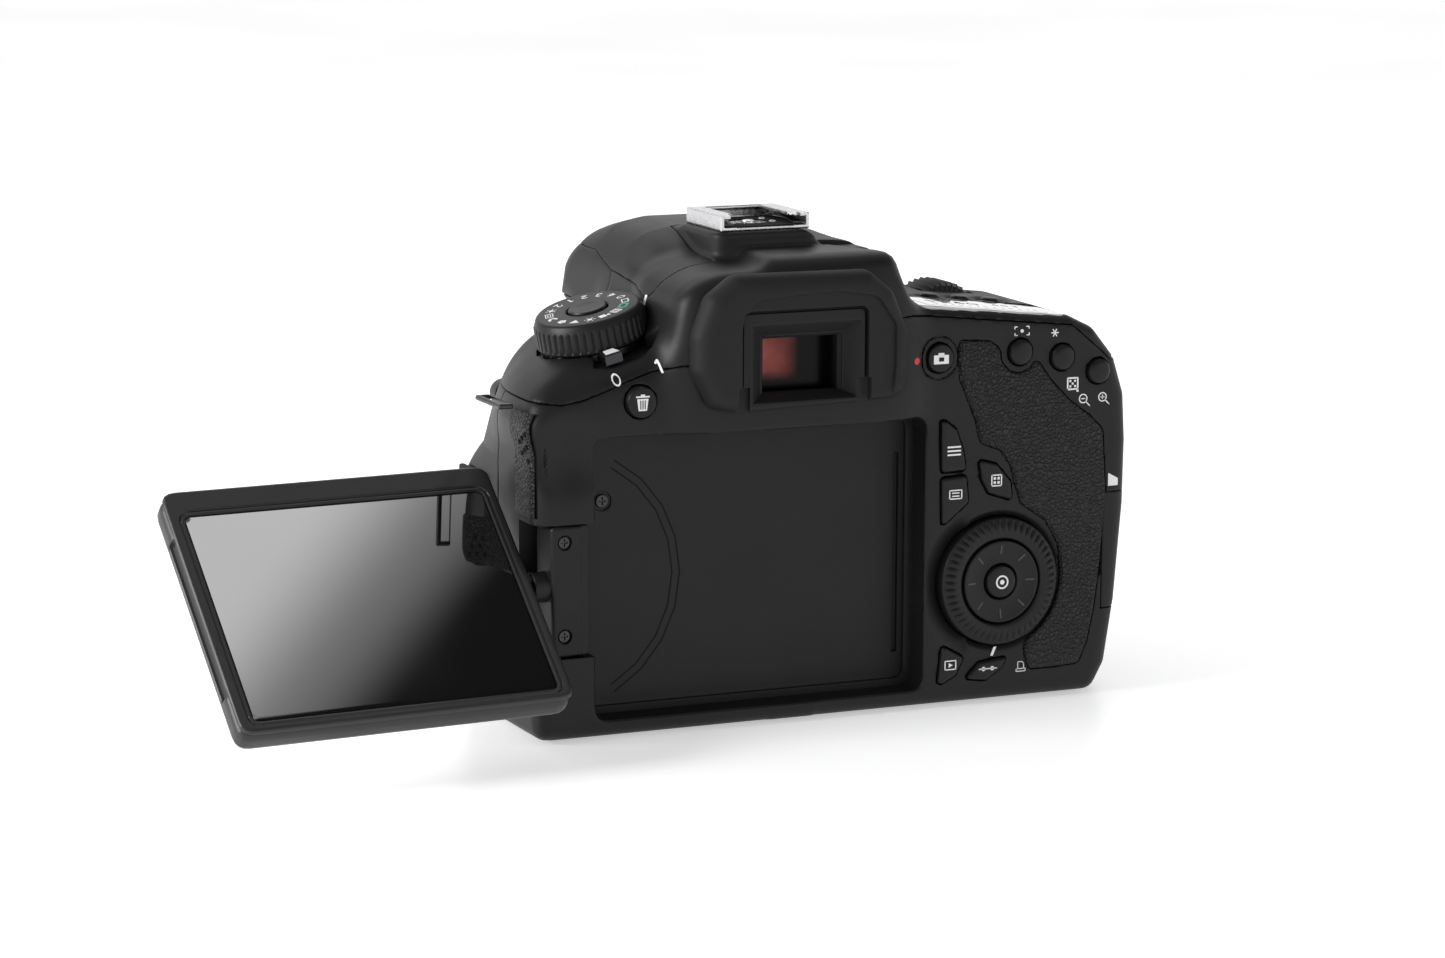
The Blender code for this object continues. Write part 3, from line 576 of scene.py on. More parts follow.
def outer(p):
    """Outside of the whole camera body."""
    form = soft_min(left_body(p), right_body(p), 0.5)
    form = soft_min(form, grip(p), 5.0)
    knob_flat = 0.77 * (p[0] - 21.6) + 0.64 * (p[2] - 91.6) - 1.4 - 1.5 * np.maximum(p[1] - 12.0, 0.0)
    form = soft_min(form, soft_max(soft_min(finder(p), hump(p), 6.0), knob_flat, 2.0), 5.0)
    form = soft_min(form, shoe_block(p), 1.6)
    form = soft_min(form, boss(p), 4.0)
    return soft_max(form, 0.05 - p[2], 0.6)  # the blends would bulge below the flat base


# ---- covers -----------------------------------------------------------------------------------

GAP = 0.07  # half of a parting line
LINE = 0.35  # how much a parting line's edges are broken
ARM_END = 4.9  # radius of the flash arms' ends about their hinge
PORT_COVERS = {"port_cover_rear": (28.7, 36.0), "port_cover_front": (36.6, 43.4)}  # from rear to front

TOP_REAR = [
    (-75, 70.7), (-58, 70.7), (-52, 70.1), (-47.5, 70.7), (-43, 72.2), (-37.7, 74.0), (-32, 75.8),
    (-26.4, 77.2), (-24.0, 77.2), (-21.5, 70.0), (20.5, 70.0), (20.5, 84.6), (25.5, 84.8), (65.0, 80.6), (74.0, 73.0),
    (95, 73.0), (95, 125), (-75, 125),
]
TOP_FRONT = [
    (-75, 70.7), (-38, 70.7), (-38, 83.6), (38, 83.6), (38, 79.0), (95, 79.0), (95, 125), (-75, 125),
]
RECESS = rounded([(-45, 4), (30.3, 4), (30.3, 62.9), (-45, 62.9)], 3.0)
RECESS_LIP = rounded([(-45.0, 5.6), (28.6, 5.6), (28.6, 61.6), (-45.0, 61.6)], 2.4)


def above_seam(p):
    """What belongs to the top cover, with one seam at the rear and another at the front."""
    x, y, z = p
    rear = np.maximum(polygon(x, z, TOP_REAR), y - 39.0)
    return np.minimum(rear, np.maximum(polygon(x, z, TOP_FRONT), 39.0 - y))


def floor_room(p):
    return block(p, (-54, 12, -5), (79, 62, 2.9))


def room(p):
    """The hollow inside the covers, which keeps a wall all round."""
    hollow = np.minimum.reduce(np.broadcast_arrays(
        block(p, (-55.0, 11.8, 3.2), (76.0, 43.0, 70.0), 1.0),
        block(p, (50.0, 30.0, 3.2), (79.0, 65.5, 66.0), 1.0),
        block(p, (-24.0, 40.0, 21.0), (24.0, 62.0, 80.0), 0.0),
        block(p, (-19.0, 11.8, 60.0), (19.0, 59.5, 85.9), 1.0),
    ))
    return np.minimum(
        np.maximum(hollow, outer(p) + 1.5), cylinder(p, (0, 55, LENS_Z), (0, 1, 0), 26.8, 0.0, 20.0)
    )


def flash_outline():
    """Side outline of the flash head: arms with round ends about the hinge, and the hood ahead."""
    y, z = FLASH_PIVOT[1:]
    turns = [math.radians(angle) for angle in range(100, 301, 10)]
    end = [(y + ARM_END * math.cos(turn), z + ARM_END * math.sin(turn)) for turn in turns]
    return end + [(24, 90.6), (40, 92.2), (52, 95.0), (82, 95.0), (82, 120), (end[0][0], 120)]


FLASH_SIDE = flash_outline()


def flash_room(p, margin):
    """What the flash head takes out of the hump, grown by a margin."""
    x, y, z = p
    out = np.sqrt((y - FLASH_PIVOT[1]) ** 2 + (z - FLASH_PIVOT[2]) ** 2)
    core = np.maximum(np.abs(x) - 12.6 + margin, out - 20.7 + margin)
    return np.maximum(polygon(y, z, FLASH_SIDE) - margin, -core)


def inside_gap(form, region):
    """A form cut down to a region, with the edge of its parting line lightly broken."""
    return soft_max(form, region + GAP, LINE)


def recess(p):
    """The bay that the monitor folds into, with its stepped lip."""
    x, y, z = p
    bay = soft_max(polygon(x, z, RECESS), y - 6.4, 0.0)
    deep = soft_max(polygon(x, z, RECESS_LIP), y - 7.5, 0.0)
    return np.minimum(soft_max(bay, -8.0 - y, 0.0), deep)


def recess_marks(p):
    """The slot beside the catch and the seat of a screw, in the floor of the bay."""
    slot = block(p, (26.2, 0.0, 11.2), (27.4, 8.6, 54.4), 0.3)
    sink = cylinder(p, (-40.5, 7.0, 48.6), (0, 1, 0), 2.1, -2.0, 1.0)
    return np.minimum(slot, sink)


def finger_dent(p):
    """The hollow above the upper hinge boss."""
    x, y, z = p
    return np.sqrt(((x + 51.0) / 1.15) ** 2 + ((y + 6.2) / 1.0) ** 2 + ((z - 59.0) / 1.1) ** 2) - 8.6


def wheel_bay(p):
    """The round pocket of the rear wheel, with a bevel that widens towards the monitor bay."""
    x, y, z = p
    out = np.sqrt((x - WHEEL[0]) ** 2 + (z - WHEEL[1]) ** 2)
    pocket = np.maximum(out - 14.1, y - 9.0)
    bevel = out - 15.3 + 1.1 * y
    wide = np.sqrt((x - WHEEL[0] + 1.0) ** 2 + (z - WHEEL[1]) ** 2) - 17.3 + 2.2 * y
    wide = soft_max(wide, x - WHEEL[0] + 7.0, 3.0)
    return np.minimum(np.minimum(pocket, np.maximum(bevel, y - 3.0)), wide)


THUMB = [
    (37.6, 77.8), (38.1, 78.8), (45.0, 78.3), (47.4, 76.6), (47.9, 73.6), (49.8, 71.6), (52.2, 71.0),
    (54.6, 71.9), (55.6, 73.4), (57.0, 73.1), (59.5, 69.5), (64.4, 64.5), (69.4, 60.9), (71.8, 58.6),
    (72.6, 57.5), (73.6, 44.3), (72.5, 29.0), (71.3, 19.2), (69.7, 11.6), (67.6, 6.7), (60.8, 6.4),
    (55.9, 6.4), (54.9, 7.4), (54.1, 11.2), (54.6, 12.9), (56.9, 15.3), (60.5, 21.2), (62.8, 26.5),
    (62.2, 33.1), (58.9, 38.8), (52.8, 42.9), (51.5, 46.9), (50.2, 51.3), (47.8, 54.7), (43.0, 56.5),
    (41.7, 61.6), (38.0, 70.3), (37.7, 72.5),
]
THUMB_SMOOTH = rounded(THUMB, 1.6, 2)
KEYS = {
    "menu_button": [(33.6, 61.9), (34.8, 61.8), (37.2, 59.9), (38.9, 55.3), (39.7, 51.0), (33.8, 50.7)],
    "info_button": [(33.8, 49.6), (39.7, 49.9), (40.3, 44.0), (34.9, 39.7), (34.0, 39.7)],
    "quick_button": [(42.5, 53.1), (46.9, 51.8), (50.3, 47.9), (50.8, 43.7), (45.0, 45.6), (43.3, 48.6)],
    "playback_button": [(34.4, 13.5), (39.7, 10.4), (37.8, 6.7), (34.5, 5.0), (33.5, 5.3)],
    "unlock_button": [(39.7, 5.6), (43.3, 9.0), (50.2, 9.8), (48.8, 7.4), (45.0, 5.0)],
}
ROUND_KEYS = {
    "live_view_button": (33.0, 75.3, 3.05),
    "af_on_button": (52.2, 75.5, 2.8),
    "ae_lock_button": (62.3, 73.9, 2.8),
    "af_point_button": (71.1, 70.4, 2.7),
    "erase_button": (-35.0, 70.0, 3.3),
}


def key_outline(name):
    return rounded(KEYS[name], 0.9, 3)


def key_holes(p):
    """The holes of the rear keys, and the groove round the live view key."""
    x, y, z = p
    holes = [np.maximum(polygon(x, z, key_outline(name)) - 0.28, y - 6.5) for name in KEYS]
    for across, up, radius in ROUND_KEYS.values():
        out = np.sqrt((x - across) ** 2 + (z - up) ** 2)
        holes.append(np.maximum(out - radius - 0.3, y - 6.5))
    across, up, radius = ROUND_KEYS["live_view_button"]
    out = np.sqrt((x - across) ** 2 + (z - up) ** 2)
    holes.append(np.maximum(np.abs(out - 4.5) - 0.22, y - 0.5))
    return np.minimum.reduce(np.broadcast_arrays(*holes))


def rear_cover(p):
    x, y, z = p
    form = outer(p)
    form = soft_max(form, -finger_dent(p), 3.0)
    form = soft_max(form, -recess(p), 0.7)
    form = soft_max(form, -recess_marks(p), 0.25)
    form = np.maximum(form, -block(p, (-66, -5, 17.7), (-44.6, 10.2, 45.6), 0.3))
    form = soft_max(form, -wheel_bay(p), 0.5)
    form = soft_max(form, -key_holes(p), 0.25)
    form = soft_max(form, -(np.maximum(polygon(x, z, THUMB_SMOOTH) - 0.12, y - 0.95)), 0.2)
    form = inside_gap(form, y - SEAM_Y)
    form = inside_gap(form, -above_seam(p))
    form = inside_gap(form, -floor_room(p))
    form = np.maximum(form, -card_room(p))
    return np.maximum(form, -room(p))


def card_room(p):
    """The opening behind the card door."""
    return block(p, (72.8, -3.0, 18.3), (90.0, 21.2, 44.0), 0.0)


def front_cover(p):
    form = inside_gap(outer(p), SEAM_Y - p[1])
    form = inside_gap(form, -above_seam(p))
    form = inside_gap(form, -floor_room(p))
    for rear, front in PORT_COVERS.values():
        form = np.maximum(form, -block(p, (-70, rear - 0.2, 9.8), (-56.9, front + 0.2, 52.2)))
    form = np.maximum(form, -grip_seat(p))
    form = soft_max(form, -shoulder_cuts(p), 0.3)
    form = np.maximum(form, -cylinder(p, (-46.5, 40.0, 36.0), (0, 1, 0), 5.5, 0.0, 10.0))
    form = np.maximum(form, -cylinder(p, (-47.0, 40.0, 66.0), (0, 1, 0), 3.3, 0.0, 10.0))
    return np.maximum(form, -room(p))


def top_cover(p):
    across, up, radius = ROUND_KEYS["live_view_button"]
    form = soft_max(outer(p), -cylinder(p, (across, -3.0, up), (0, 1, 0), radius + 0.3, 0.0, 10.0), 0.2)
    form = inside_gap(form, above_seam(p))
    form = soft_max(form, -flash_room(p, GAP), LINE)
    form = np.maximum(form, -block(p, (-19.5, 39.9, 86.9), (19.5, 63.2, 97.0)))
    form = soft_max(form, -lever_slot(p), 0.4)
    form = soft_max(form, -shoulder_cuts(p), 0.3)
    form = np.maximum(form, -block(p, (-9.3, -4.0, 70.1), (8.9, 16.0, 82.5)))
    return np.maximum(form, -room(p))


def bottom_cover(p):
    form = inside_gap(outer(p), floor_room(p))
    form = np.maximum(form, -cylinder(p, (0, 38, -3), (0, 0, 1), 8.1, 0.0, 12.0))
    form = np.maximum(form, -block(p, (49.1, 15.8, -2.0), (75.1, 57.8, 4.0)))
    return form


def side_skin(p):
    """The textured rubber on the left end."""
    form = soft_max(outer(p) - 0.4, block(p, (-70, 1.2, 47.0), (-54.5, 11.5, 68.6), 0.8), 0.3)
    return np.maximum(form, -(outer(p) + 1.0))


# ---- turned pieces and printed marks ----------------------------------------------------------


def turned(name, profile, turn, material, body, segments=64, swell=None, hollow=False, sharp=30.0):
    """Turns a profile of (radius, height) round local Z. swell(angles, row) adds to both."""
    angles = np.arange(segments) * (2 * math.pi / segments)
    rows, points, faces = [], [], []
    for row, (radius, height) in enumerate(profile):
        if radius == 0:
            rows.append([len(points)] * segments)
            points.append((0.0, 0.0, height))
            continue
        more_radius, more_height = swell(angles, row) if swell else (0.0 * angles, 0.0 * angles)
        rows.append(list(range(len(points), len(points) + segments)))
        for angle, r, h in zip(angles, radius + more_radius, height + more_height):
            points.append((r * math.cos(angle), r * math.sin(angle), h))
    pairs = list(zip(rows, rows[1:])) + ([(rows[-1], rows[0])] if hollow else [])
    for low, high in pairs:
        for i in range(segments):
            j = (i + 1) % segments
            corners = list(dict.fromkeys((low[i], low[j], high[j], high[i])))
            if len(corners) > 2:
                faces.append(corners)
    mesh = bpy.data.meshes.new(name)
    mesh.from_pydata([tuple(c * MM for c in point) for point in points], [], faces)
    shape = bmesh.new()
    shape.from_mesh(mesh)
    bmesh.ops.recalc_face_normals(shape, faces=shape.faces)
    shape.to_mesh(mesh)
    shape.free()
    return finished(name, mesh, material, body, turn, sharp)


def stroke(points, width):
    """Quads along a line, in short lengths, with round joints."""
    shapes = [disc(u, v, width / 2, 10) for u, v in points]
    for start, end in zip(points, points[1:]):
        a, b = Vector(start), Vector(end)
        count = max(1, int((b - a).length / 0.5))
        side = Vector((a.y - b.y, b.x - a.x)).normalized() * width / 2
        for i in range(count):
            c, d = a.lerp(b, i / count), a.lerp(b, (i + 1) / count)
            shapes.append([tuple(c - side), tuple(d - side), tuple(d + side), tuple(c + side)])
    return shapes


def disc(u, v, radius, sides=16):
    turns = [2 * math.pi * i / sides for i in range(sides)]
    return [(u + radius * math.cos(t), v + radius * math.sin(t)) for t in turns]


def hoop(u, v, radius, width, start=0.0, end=360.0, squash=1.0):
    """A ring or part of one."""
    count = max(6, int((end - start) / 15))
    turns = [math.radians(start + (end - start) * i / count) for i in range(count + 1)]
    inner, outside = radius - width / 2, radius + width / 2
    shapes = []
    for a, b in zip(turns, turns[1:]):
        shapes.append([
            (u + squash * outside * math.cos(a), v + outside * math.sin(a)),
            (u + squash * outside * math.cos(b), v + outside * math.sin(b)),
            (u + squash * inner * math.cos(b), v + inner * math.sin(b)),
            (u + squash * inner * math.cos(a), v + inner * math.sin(a)),
        ])
    return shapes


def bar(low, high):
    """A rectangle between two corners."""
    return [(low[0], low[1]), (high[0], low[1]), (high[0], high[1]), (low[0], high[1])]


def border(low, high, width):
    """A rectangle drawn as a line."""
    a, b, c, d = (low[0], low[1]), (high[0], low[1]), (high[0], high[1]), (low[0], high[1])
    return stroke([a, b, c, d, a], width)


def moved(shapes, u=0.0, v=0.0, scale=1.0, turn=0.0):
    """Shapes scaled, turned and then moved."""
    c, s = math.cos(turn) * scale, math.sin(turn) * scale
    return [[(u + c * a - s * b, v + s * a + c * b) for a, b in shape] for shape in shapes]


def print_marks(name, shapes, turn, ink, body, form=None, thick=0.04):
    """Thin raised ink. With a form, the ink is laid on that surface along the face's normal."""
    points, faces = [], []
    for shape in shapes:
        first, count = len(points), len(shape)
        points += [(u, v, thick) for u, v in shape] + [(u, v, -thick) for u, v in shape]
        faces.append([first + i for i in range(count)])
        faces.append([first + count + i for i in reversed(range(count))])
        for i in range(count):
            j = (i + 1) % count
            faces.append([first + i, first + count + i, first + count + j, first + j])
    if form is not None:
        local = np.array(points, np.float64)
        there = np.array(turn)
        base = np.c_[local[:, :2], np.full(len(local), 3.0)] * MM @ there[:3, :3].T + there[:3, 3]
        base = base / MM + np.array([0.0, SENSOR_Y, 0.0])
        down = -there[:3, 2]
        reach = np.zeros(len(local))
        for _ in range(30):
            reach += 0.8 * form(tuple((base + down * reach[:, None]).T))
        local[:, 2] += 3.0 - reach
        points = [tuple(point) for point in local]
    mesh = bpy.data.meshes.new(name)
    mesh.from_pydata([tuple(c * MM for c in point) for point in points], [], faces)
    return finished(name, mesh, ink, body, turn, 20.0)


def strokes(*lines, width=0.28):
    return [shape for line in lines for shape in stroke(line, width)]


# ---- pictograms, each about two millimetres across --------------------------------------------

BARS = [bar((-1.6, v - 0.18), (1.6, v + 0.18)) for v in (-0.85, 0.0, 0.85)]
PANEL = border((-1.5, -0.95), (1.5, 0.95), 0.26) + [
    bar((-0.9, v - 0.13), (0.9, v + 0.13)) for v in (-0.35, 0.35)
]
FOUR = border((-1.15, -1.15), (1.15, 1.15), 0.26) + [
    bar((u - 0.27, v - 0.27), (u + 0.27, v + 0.27)) for u in (-0.45, 0.45) for v in (-0.45, 0.45)
]
PLAY = border((-1.3, -0.95), (1.3, 0.95), 0.24) + [[(-0.42, -0.52), (0.55, 0.0), (-0.42, 0.52)]]
SLIDER = strokes([(-2.2, 0), (2.2, 0)], width=0.24) + [disc(-1.1, 0, 0.5), disc(1.1, 0, 0.5)]
CHECK = hoop(0, 0, 1.25, 0.34) + [disc(0, 0, 0.5)]
PRINTER = strokes(
    [(-1.15, -0.5), (-1.15, -1.1), (1.15, -1.1), (1.15, -0.5), (-1.15, -0.5)],
    [(-0.75, -0.5), (-0.75, 1.1), (0.3, 1.1), (0.75, 0.65), (0.75, -0.5)], width=0.18,
)
CAMERA_SIGN = [bar((-1.75, -1.05), (1.75, 0.85)), bar((-0.7, 0.8), (0.7, 1.3))]
FOCUS = strokes(
    [(-1.9, 0.55), (-1.9, 1.0), (-1.3, 1.0)], [(1.9, 0.55), (1.9, 1.0), (1.3, 1.0)],
    [(-1.9, -0.55), (-1.9, -1.0), (-1.3, -1.0)], [(1.9, -0.55), (1.9, -1.0), (1.3, -1.0)], width=0.26,
) + [disc(0, 0, 0.42)]
STAR = strokes(*[
    [(-math.cos(t), -math.sin(t)), (math.cos(t), math.sin(t))] for t in (0.0, math.pi / 3, 2 * math.pi / 3)
], width=0.3)
GRID = border((-1.05, -1.05), (1.05, 1.05), 0.3) + [
    bar((u - 0.2, v - 0.2), (u + 0.2, v + 0.2)) for u, v in (
        (0, 0), (0.5, 0.5), (-0.5, 0.5), (0.5, -0.5), (-0.5, -0.5)
    )
]
GLASS_LESS = hoop(0, 0, 0.85, 0.22) + strokes([(0.62, -0.62), (1.5, -1.5)], [(-0.4, 0), (0.4, 0)], width=0.22)
GLASS_MORE = GLASS_LESS + strokes([(0, -0.4), (0, 0.4)], width=0.22)
BIN = [
    [(-0.95, 0.55), (0.95, 0.55), (0.7, -1.35), (-0.7, -1.35)], bar((-1.15, 0.75), (1.15, 1.0)),
    bar((-0.35, 1.0), (0.35, 1.25))
]
BIN_LINES = [bar((u - 0.07, -1.1), (u + 0.07, 0.3)) for u in (-0.38, 0.0, 0.38)]
TRIANGLE = [
    [
        (u, -1.4), (u + 0.26, -1.4), (u + 0.26, 1.4 - 0.55 * (u + 1.3)), (u, 1.4 - 0.5 * (u + 1.3))
    ] for u in np.arange(-1.2, 1.2, 0.25)
]
DIGITS = {
    "0": hoop(0, 0, 0.75, 0.26, squash=0.72),
    "1": strokes([(-0.3, 0.5), (0.05, 0.8), (0.05, -0.8)]),
    "2": hoop(0, 0.32, 0.45, 0.26, -20, 170) + strokes([(0.4, 0.15), (-0.45, -0.75), (0.5, -0.75)]),
    "3": hoop(0, 0.38, 0.38, 0.26, -90, 160) + hoop(0, -0.36, 0.42, 0.26, -160, 90),
    "4": strokes([(0.25, -0.8), (0.25, 0.8), (-0.5, -0.3), (0.55, -0.3)]),
}
HILL = [[(-1.0, -0.6), (-0.1, 0.8), (0.9, -0.6)]]
MOON = hoop(0, 0, 0.65, 0.5, 60, 300)
SUN = [disc(0, 0, 0.45)] + strokes(*[
    [(0.75 * math.cos(t), 0.75 * math.sin(t)), (1.0 * math.cos(t), 1.0 * math.sin(t))]
    for t in [i * math.pi / 3 for i in range(6)]
], width=0.2)
FLOWER = [disc(0.5 * math.cos(t), 0.5 * math.sin(t), 0.36, 10) for t in [i * math.tau / 5 for i in range(5)]]
FRAME_SIGN = border((-0.9, -0.6), (0.9, 0.6), 0.24)
FILM = [bar((-1.0, -0.65), (0.35, 0.65)), [(0.5, 0.1), (1.1, 0.55), (1.1, -0.55), (0.5, -0.1)]]


# ---- rear keys --------------------------------------------------------------------------------


def on_rear(x, z, y=0.0):
    """A face that looks back from the rear cover."""
    return basis((x, y, z), (1, 0, 0), (0, 0, 1))


def flat_keys():
    signs = {
        "menu_button": (BARS, 36.4, 55.4, 0.98), "info_button": (PANEL, 36.9, 46.0, 0.95),
        "quick_button": (FOUR, 46.6, 48.4, 1.0), "playback_button": (PLAY, 36.2, 9.1, 0.98),
        "unlock_button": (SLIDER, 45.2, 7.6, 0.95),
    }
    for name, (shapes, u, v, size) in signs.items():
        outline = key_outline(name)
        form = lambda p, outline=outline: soft_max(
            polygon(p[0], p[2], outline), between(p[1], -0.9, 5.0), 1.0
        )
        spread = np.array(outline)
        low, high = spread.min(axis=0), spread.max(axis=0)
        cap = solid(name + "_cap", form, (low[0], -0.9, low[1]), (high[0], 5.0, high[1]), 0.16, KEY, name)
        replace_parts(cap, name)
        print_marks(name + "_sign", moved(shapes, scale=size), on_rear(u, v, -0.9), WHITE_INK, name)


def round_keys():
    for name, (x, z, r) in ROUND_KEYS.items():
        crown = [
            (0, 1.5), (0.45 * r, 1.44), (0.75 * r, 1.24), (0.9 * r, 0.95), (0.97 * r, 0.6), (r, 0.1),
            (r, -5.0), (0, -5.0)
        ]
        if name in ("live_view_button", "erase_button"):
            crown[:4] = [(0, 0.95), (0.5 * r, 0.98), (0.82 * r, 1.05), (0.93 * r, 0.9)]
        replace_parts(turned(name + "_cap", crown, on_rear(x, z), KEY, name, 48), name)
    print_marks(
        "camera_sign", CAMERA_SIGN, on_rear(33.0, 75.2, -1.0), WHITE_INK, "live_view_button", thick=0.06
    )
    print_marks(
        "camera_sign_eye", [bar((-0.55, -0.5), (0.6, 0.35))], on_rear(33.0, 75.2, -1.08), KEY,
        "live_view_button"
    )
    print_marks(
        "bin_sign", moved(BIN, scale=1.3), on_rear(-35.0, 70.1, -1.02), WHITE_INK, "erase_button",
        thick=0.06
    )
    print_marks(
        "bin_sign_lines", moved(BIN_LINES, scale=1.3), on_rear(-35.0, 70.1, -1.1), KEY, "erase_button"
    )


def wheel():
    """The ridged rear wheel, the dished rocker pad with its eight ticks, and the set key."""
    ridges = 50
    hub = on_rear(*WHEEL)
    ring = [
        (9.3, -4.0), (9.3, 0.9), (9.5, 1.3), (10.1, 1.6), (10.9, 1.6), (11.5, 1.45), (12.2, 1.1),
        (12.8, 0.85), (13.2, 0.8), (13.55, 0.75), (13.75, 0.5), (13.8, 0.0), (13.8, -4.0),
    ]

    def ridge(angles, row):
        wave = np.abs(np.cos(angles * ridges / 2)) ** 0.8
        height = {4: 0.05, 5: 0.36, 6: 0.5, 7: 0.42, 8: 0.12}.get(row, 0.0)
        return 0.0 * angles, height * wave

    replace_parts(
        turned("wheel_ring", ring, hub, DIAL, "quick_control_dial", ridges * 8, ridge, True, 50.0),
        "quick_control_dial"
    )
    pad = [
        (3.9, -2.6), (3.9, 0.75), (4.1, 0.95), (5.0, 0.82), (6.3, 0.95), (7.7, 1.25), (8.4, 1.45),
        (8.75, 1.35), (8.9, 1.0), (8.9, -2.6),
    ]
    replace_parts(turned("rocker_pad", pad, hub, KEY, "multi_controller", 96, hollow=True), "multi_controller")
    ticks = []
    for index in range(8):
        turn = index * math.pi / 4
        ticks += moved(stroke([(6.1, 0), (7.8, 0)], 0.34), turn=turn)

    def dish(p):
        out = np.sqrt((p[0] - WHEEL[0]) ** 2 + (p[2] - WHEEL[1]) ** 2)
        return -p[1] - np.interp(out, *zip(*pad[3:7]))

    print_marks("rocker_ticks", ticks, hub, GREY_INK, "multi_controller", dish, 0.09)
    key = [(0, 1.75), (1.6, 1.72), (2.8, 1.62), (3.3, 1.4), (3.5, 1.05), (3.5, -3.0), (0, -3.0)]
    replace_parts(turned("set_key", key, hub, KEY, "set_button", 48), "set_button")
    print_marks("set_sign", moved(CHECK, scale=1.05), on_rear(*WHEEL, -1.72), WHITE_INK, "set_button")


def thumb_rest(p):
    """The grained rubber beside the wheel."""
    form = soft_max(outer(p) - 0.4, polygon(p[0], p[2], THUMB_SMOOTH), 1.0)
    form = np.maximum(form, p[1] - 0.75)
    out = np.sqrt((p[0] - WHEEL[0]) ** 2 + (p[2] - WHEEL[1]) ** 2)
    return soft_max(form, 14.9 - out, 0.5)


flat_keys()
round_keys()
wheel()
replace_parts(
    solid("thumb_rest", thumb_rest, (37, -1.2, 6), (74.2, 1, 79.4), 0.3, HIDE, "camera_body"),
    "thumb_rubber"
)


# ---- mode dial, lever and the marks beside them -----------------------------------------------

DIAL_ACROSS = Vector((0, 1, 0)).cross(DIAL_AXIS).normalized()


def dial_frame(lift):
    """On the mode dial's axis, a distance above its foot, with Z up the axis."""
    origin = Vector(DIAL_FOOT) + DIAL_AXIS * lift
    return basis(tuple(origin), DIAL_ACROSS, DIAL_AXIS.cross(DIAL_ACROSS))


def mode_dial():
    ribs = 44
    profile = [
        (0, 0.0), (11.7, 0.0), (11.8, 0.3), (11.8, 0.9), (11.75, 4.3), (11.5, 4.8), (11.4, 5.0), (11.0, 5.9),
        (10.6, 6.25), (10.2, 6.32), (4.7, 6.32), (4.45, 6.1), (4.4, 2.3), (0, 2.3),
    ]

    def rib(angles, row):
        wave = np.abs(np.sin(angles * ribs / 2)) ** 6
        return (-0.5 * wave if row in (3, 4) else 0.0 * angles), 0.0 * angles

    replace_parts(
        turned("dial_knob", profile, dial_frame(0.0), DIAL, "mode_dial", ribs * 12, rib, False, 40.0),
        "mode_dial"
    )
    signs = [
        DIGITS["1"], DIGITS["2"], DIGITS["3"], DIGITS["4"], DIGITS["0"], FRAME_SIGN, None, FOUR, FILM, SUN,
        HILL, FLOWER, MOON, PANEL, SUN, DIGITS["2"],
    ]
    shapes = []
    for index, sign in enumerate(signs):
        turn = math.radians(-42 - 22.5 * (index - 6))
        spot = (8.0 * math.cos(turn), 8.0 * math.sin(turn))
        facing = turn + math.pi / 2
        if sign is None:
            green = moved(border((-1.15, -0.75), (1.15, 0.75), 0.42), *spot, turn=facing)
        else:
            shapes += moved(sign, *spot, scale=1.12 if sign not in (FOUR, PANEL) else 0.8, turn=facing)
    print_marks("dial_signs", shapes, dial_frame(6.32), WHITE_INK, "mode_dial")
    print_marks("dial_green", green, dial_frame(6.32), GREEN_INK, "mode_dial")
    lock = [(0, 3.2), (1.6, 3.25), (2.9, 3.4), (3.5, 3.55), (3.85, 3.5), (4.05, 3.2), (4.05, 0.0), (0, 0.0)]
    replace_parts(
        turned("dial_lock_cap", lock, dial_frame(3.2), KEY, "dial_lock_button", 64), "dial_lock_button"
    )


def local_to_dial(p, lift):
    """The point seen from dial_frame(lift)."""
    axes = (DIAL_ACROSS, DIAL_AXIS.cross(DIAL_ACROSS), DIAL_AXIS)
    start = Vector(DIAL_FOOT) + DIAL_AXIS * lift
    return [sum((p[i] - start[i]) * axis[i] for i in range(3)) for axis in axes]


def lever_form(p):
    """The ring under the mode dial, with its tab."""
    u, v, w = p
    ring = soft_max(np.sqrt(u * u + v * v) - 11.0, between(w, 0.0, 1.7), 0.3)
    tab = soft_max(
        polygon(u, v, [(-3.9, -15.1), (-0.1, -15.1), (-0.6, -9.0), (-3.4, -9.0)]), between(w, 0.0, 2.6), 0.6
    )
    return soft_min(ring, tab, 0.5)


def power_lever():
    lever = solid(
        "power_lever", lever_form, (-11.1, -15.2, 0), (11.1, 11.1, 2.7), 0.25, DARK_METAL, "power_switch",
        turn=dial_frame(-2.1)
    )
    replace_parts(lever, "power_switch")
    print_marks(
        "lever_mark", [[(-3.5, -14.9), (-0.5, -14.9), (-0.9, -12.4), (-3.1, -12.4)]], dial_frame(0.53),
        WHITE_INK, "power_switch", thick=0.05
    )


SLOT = [(0, 0)] + [
    (15.6 * math.cos(math.radians(a)), 15.6 * math.sin(math.radians(a))) for a in np.linspace(-114, -50, 9)
]


def lever_slot(p):
    """The open arc in the shoulder that the lever's tab runs along, and the seat of the dial."""
    u, v, w = local_to_dial(p, -2.1)
    slot = np.maximum(polygon(u, v, SLOT), -0.25 - w)
    seat = np.maximum(np.sqrt(u * u + v * v) - 12.1, -0.25 - w)
    return np.minimum(slot, seat)


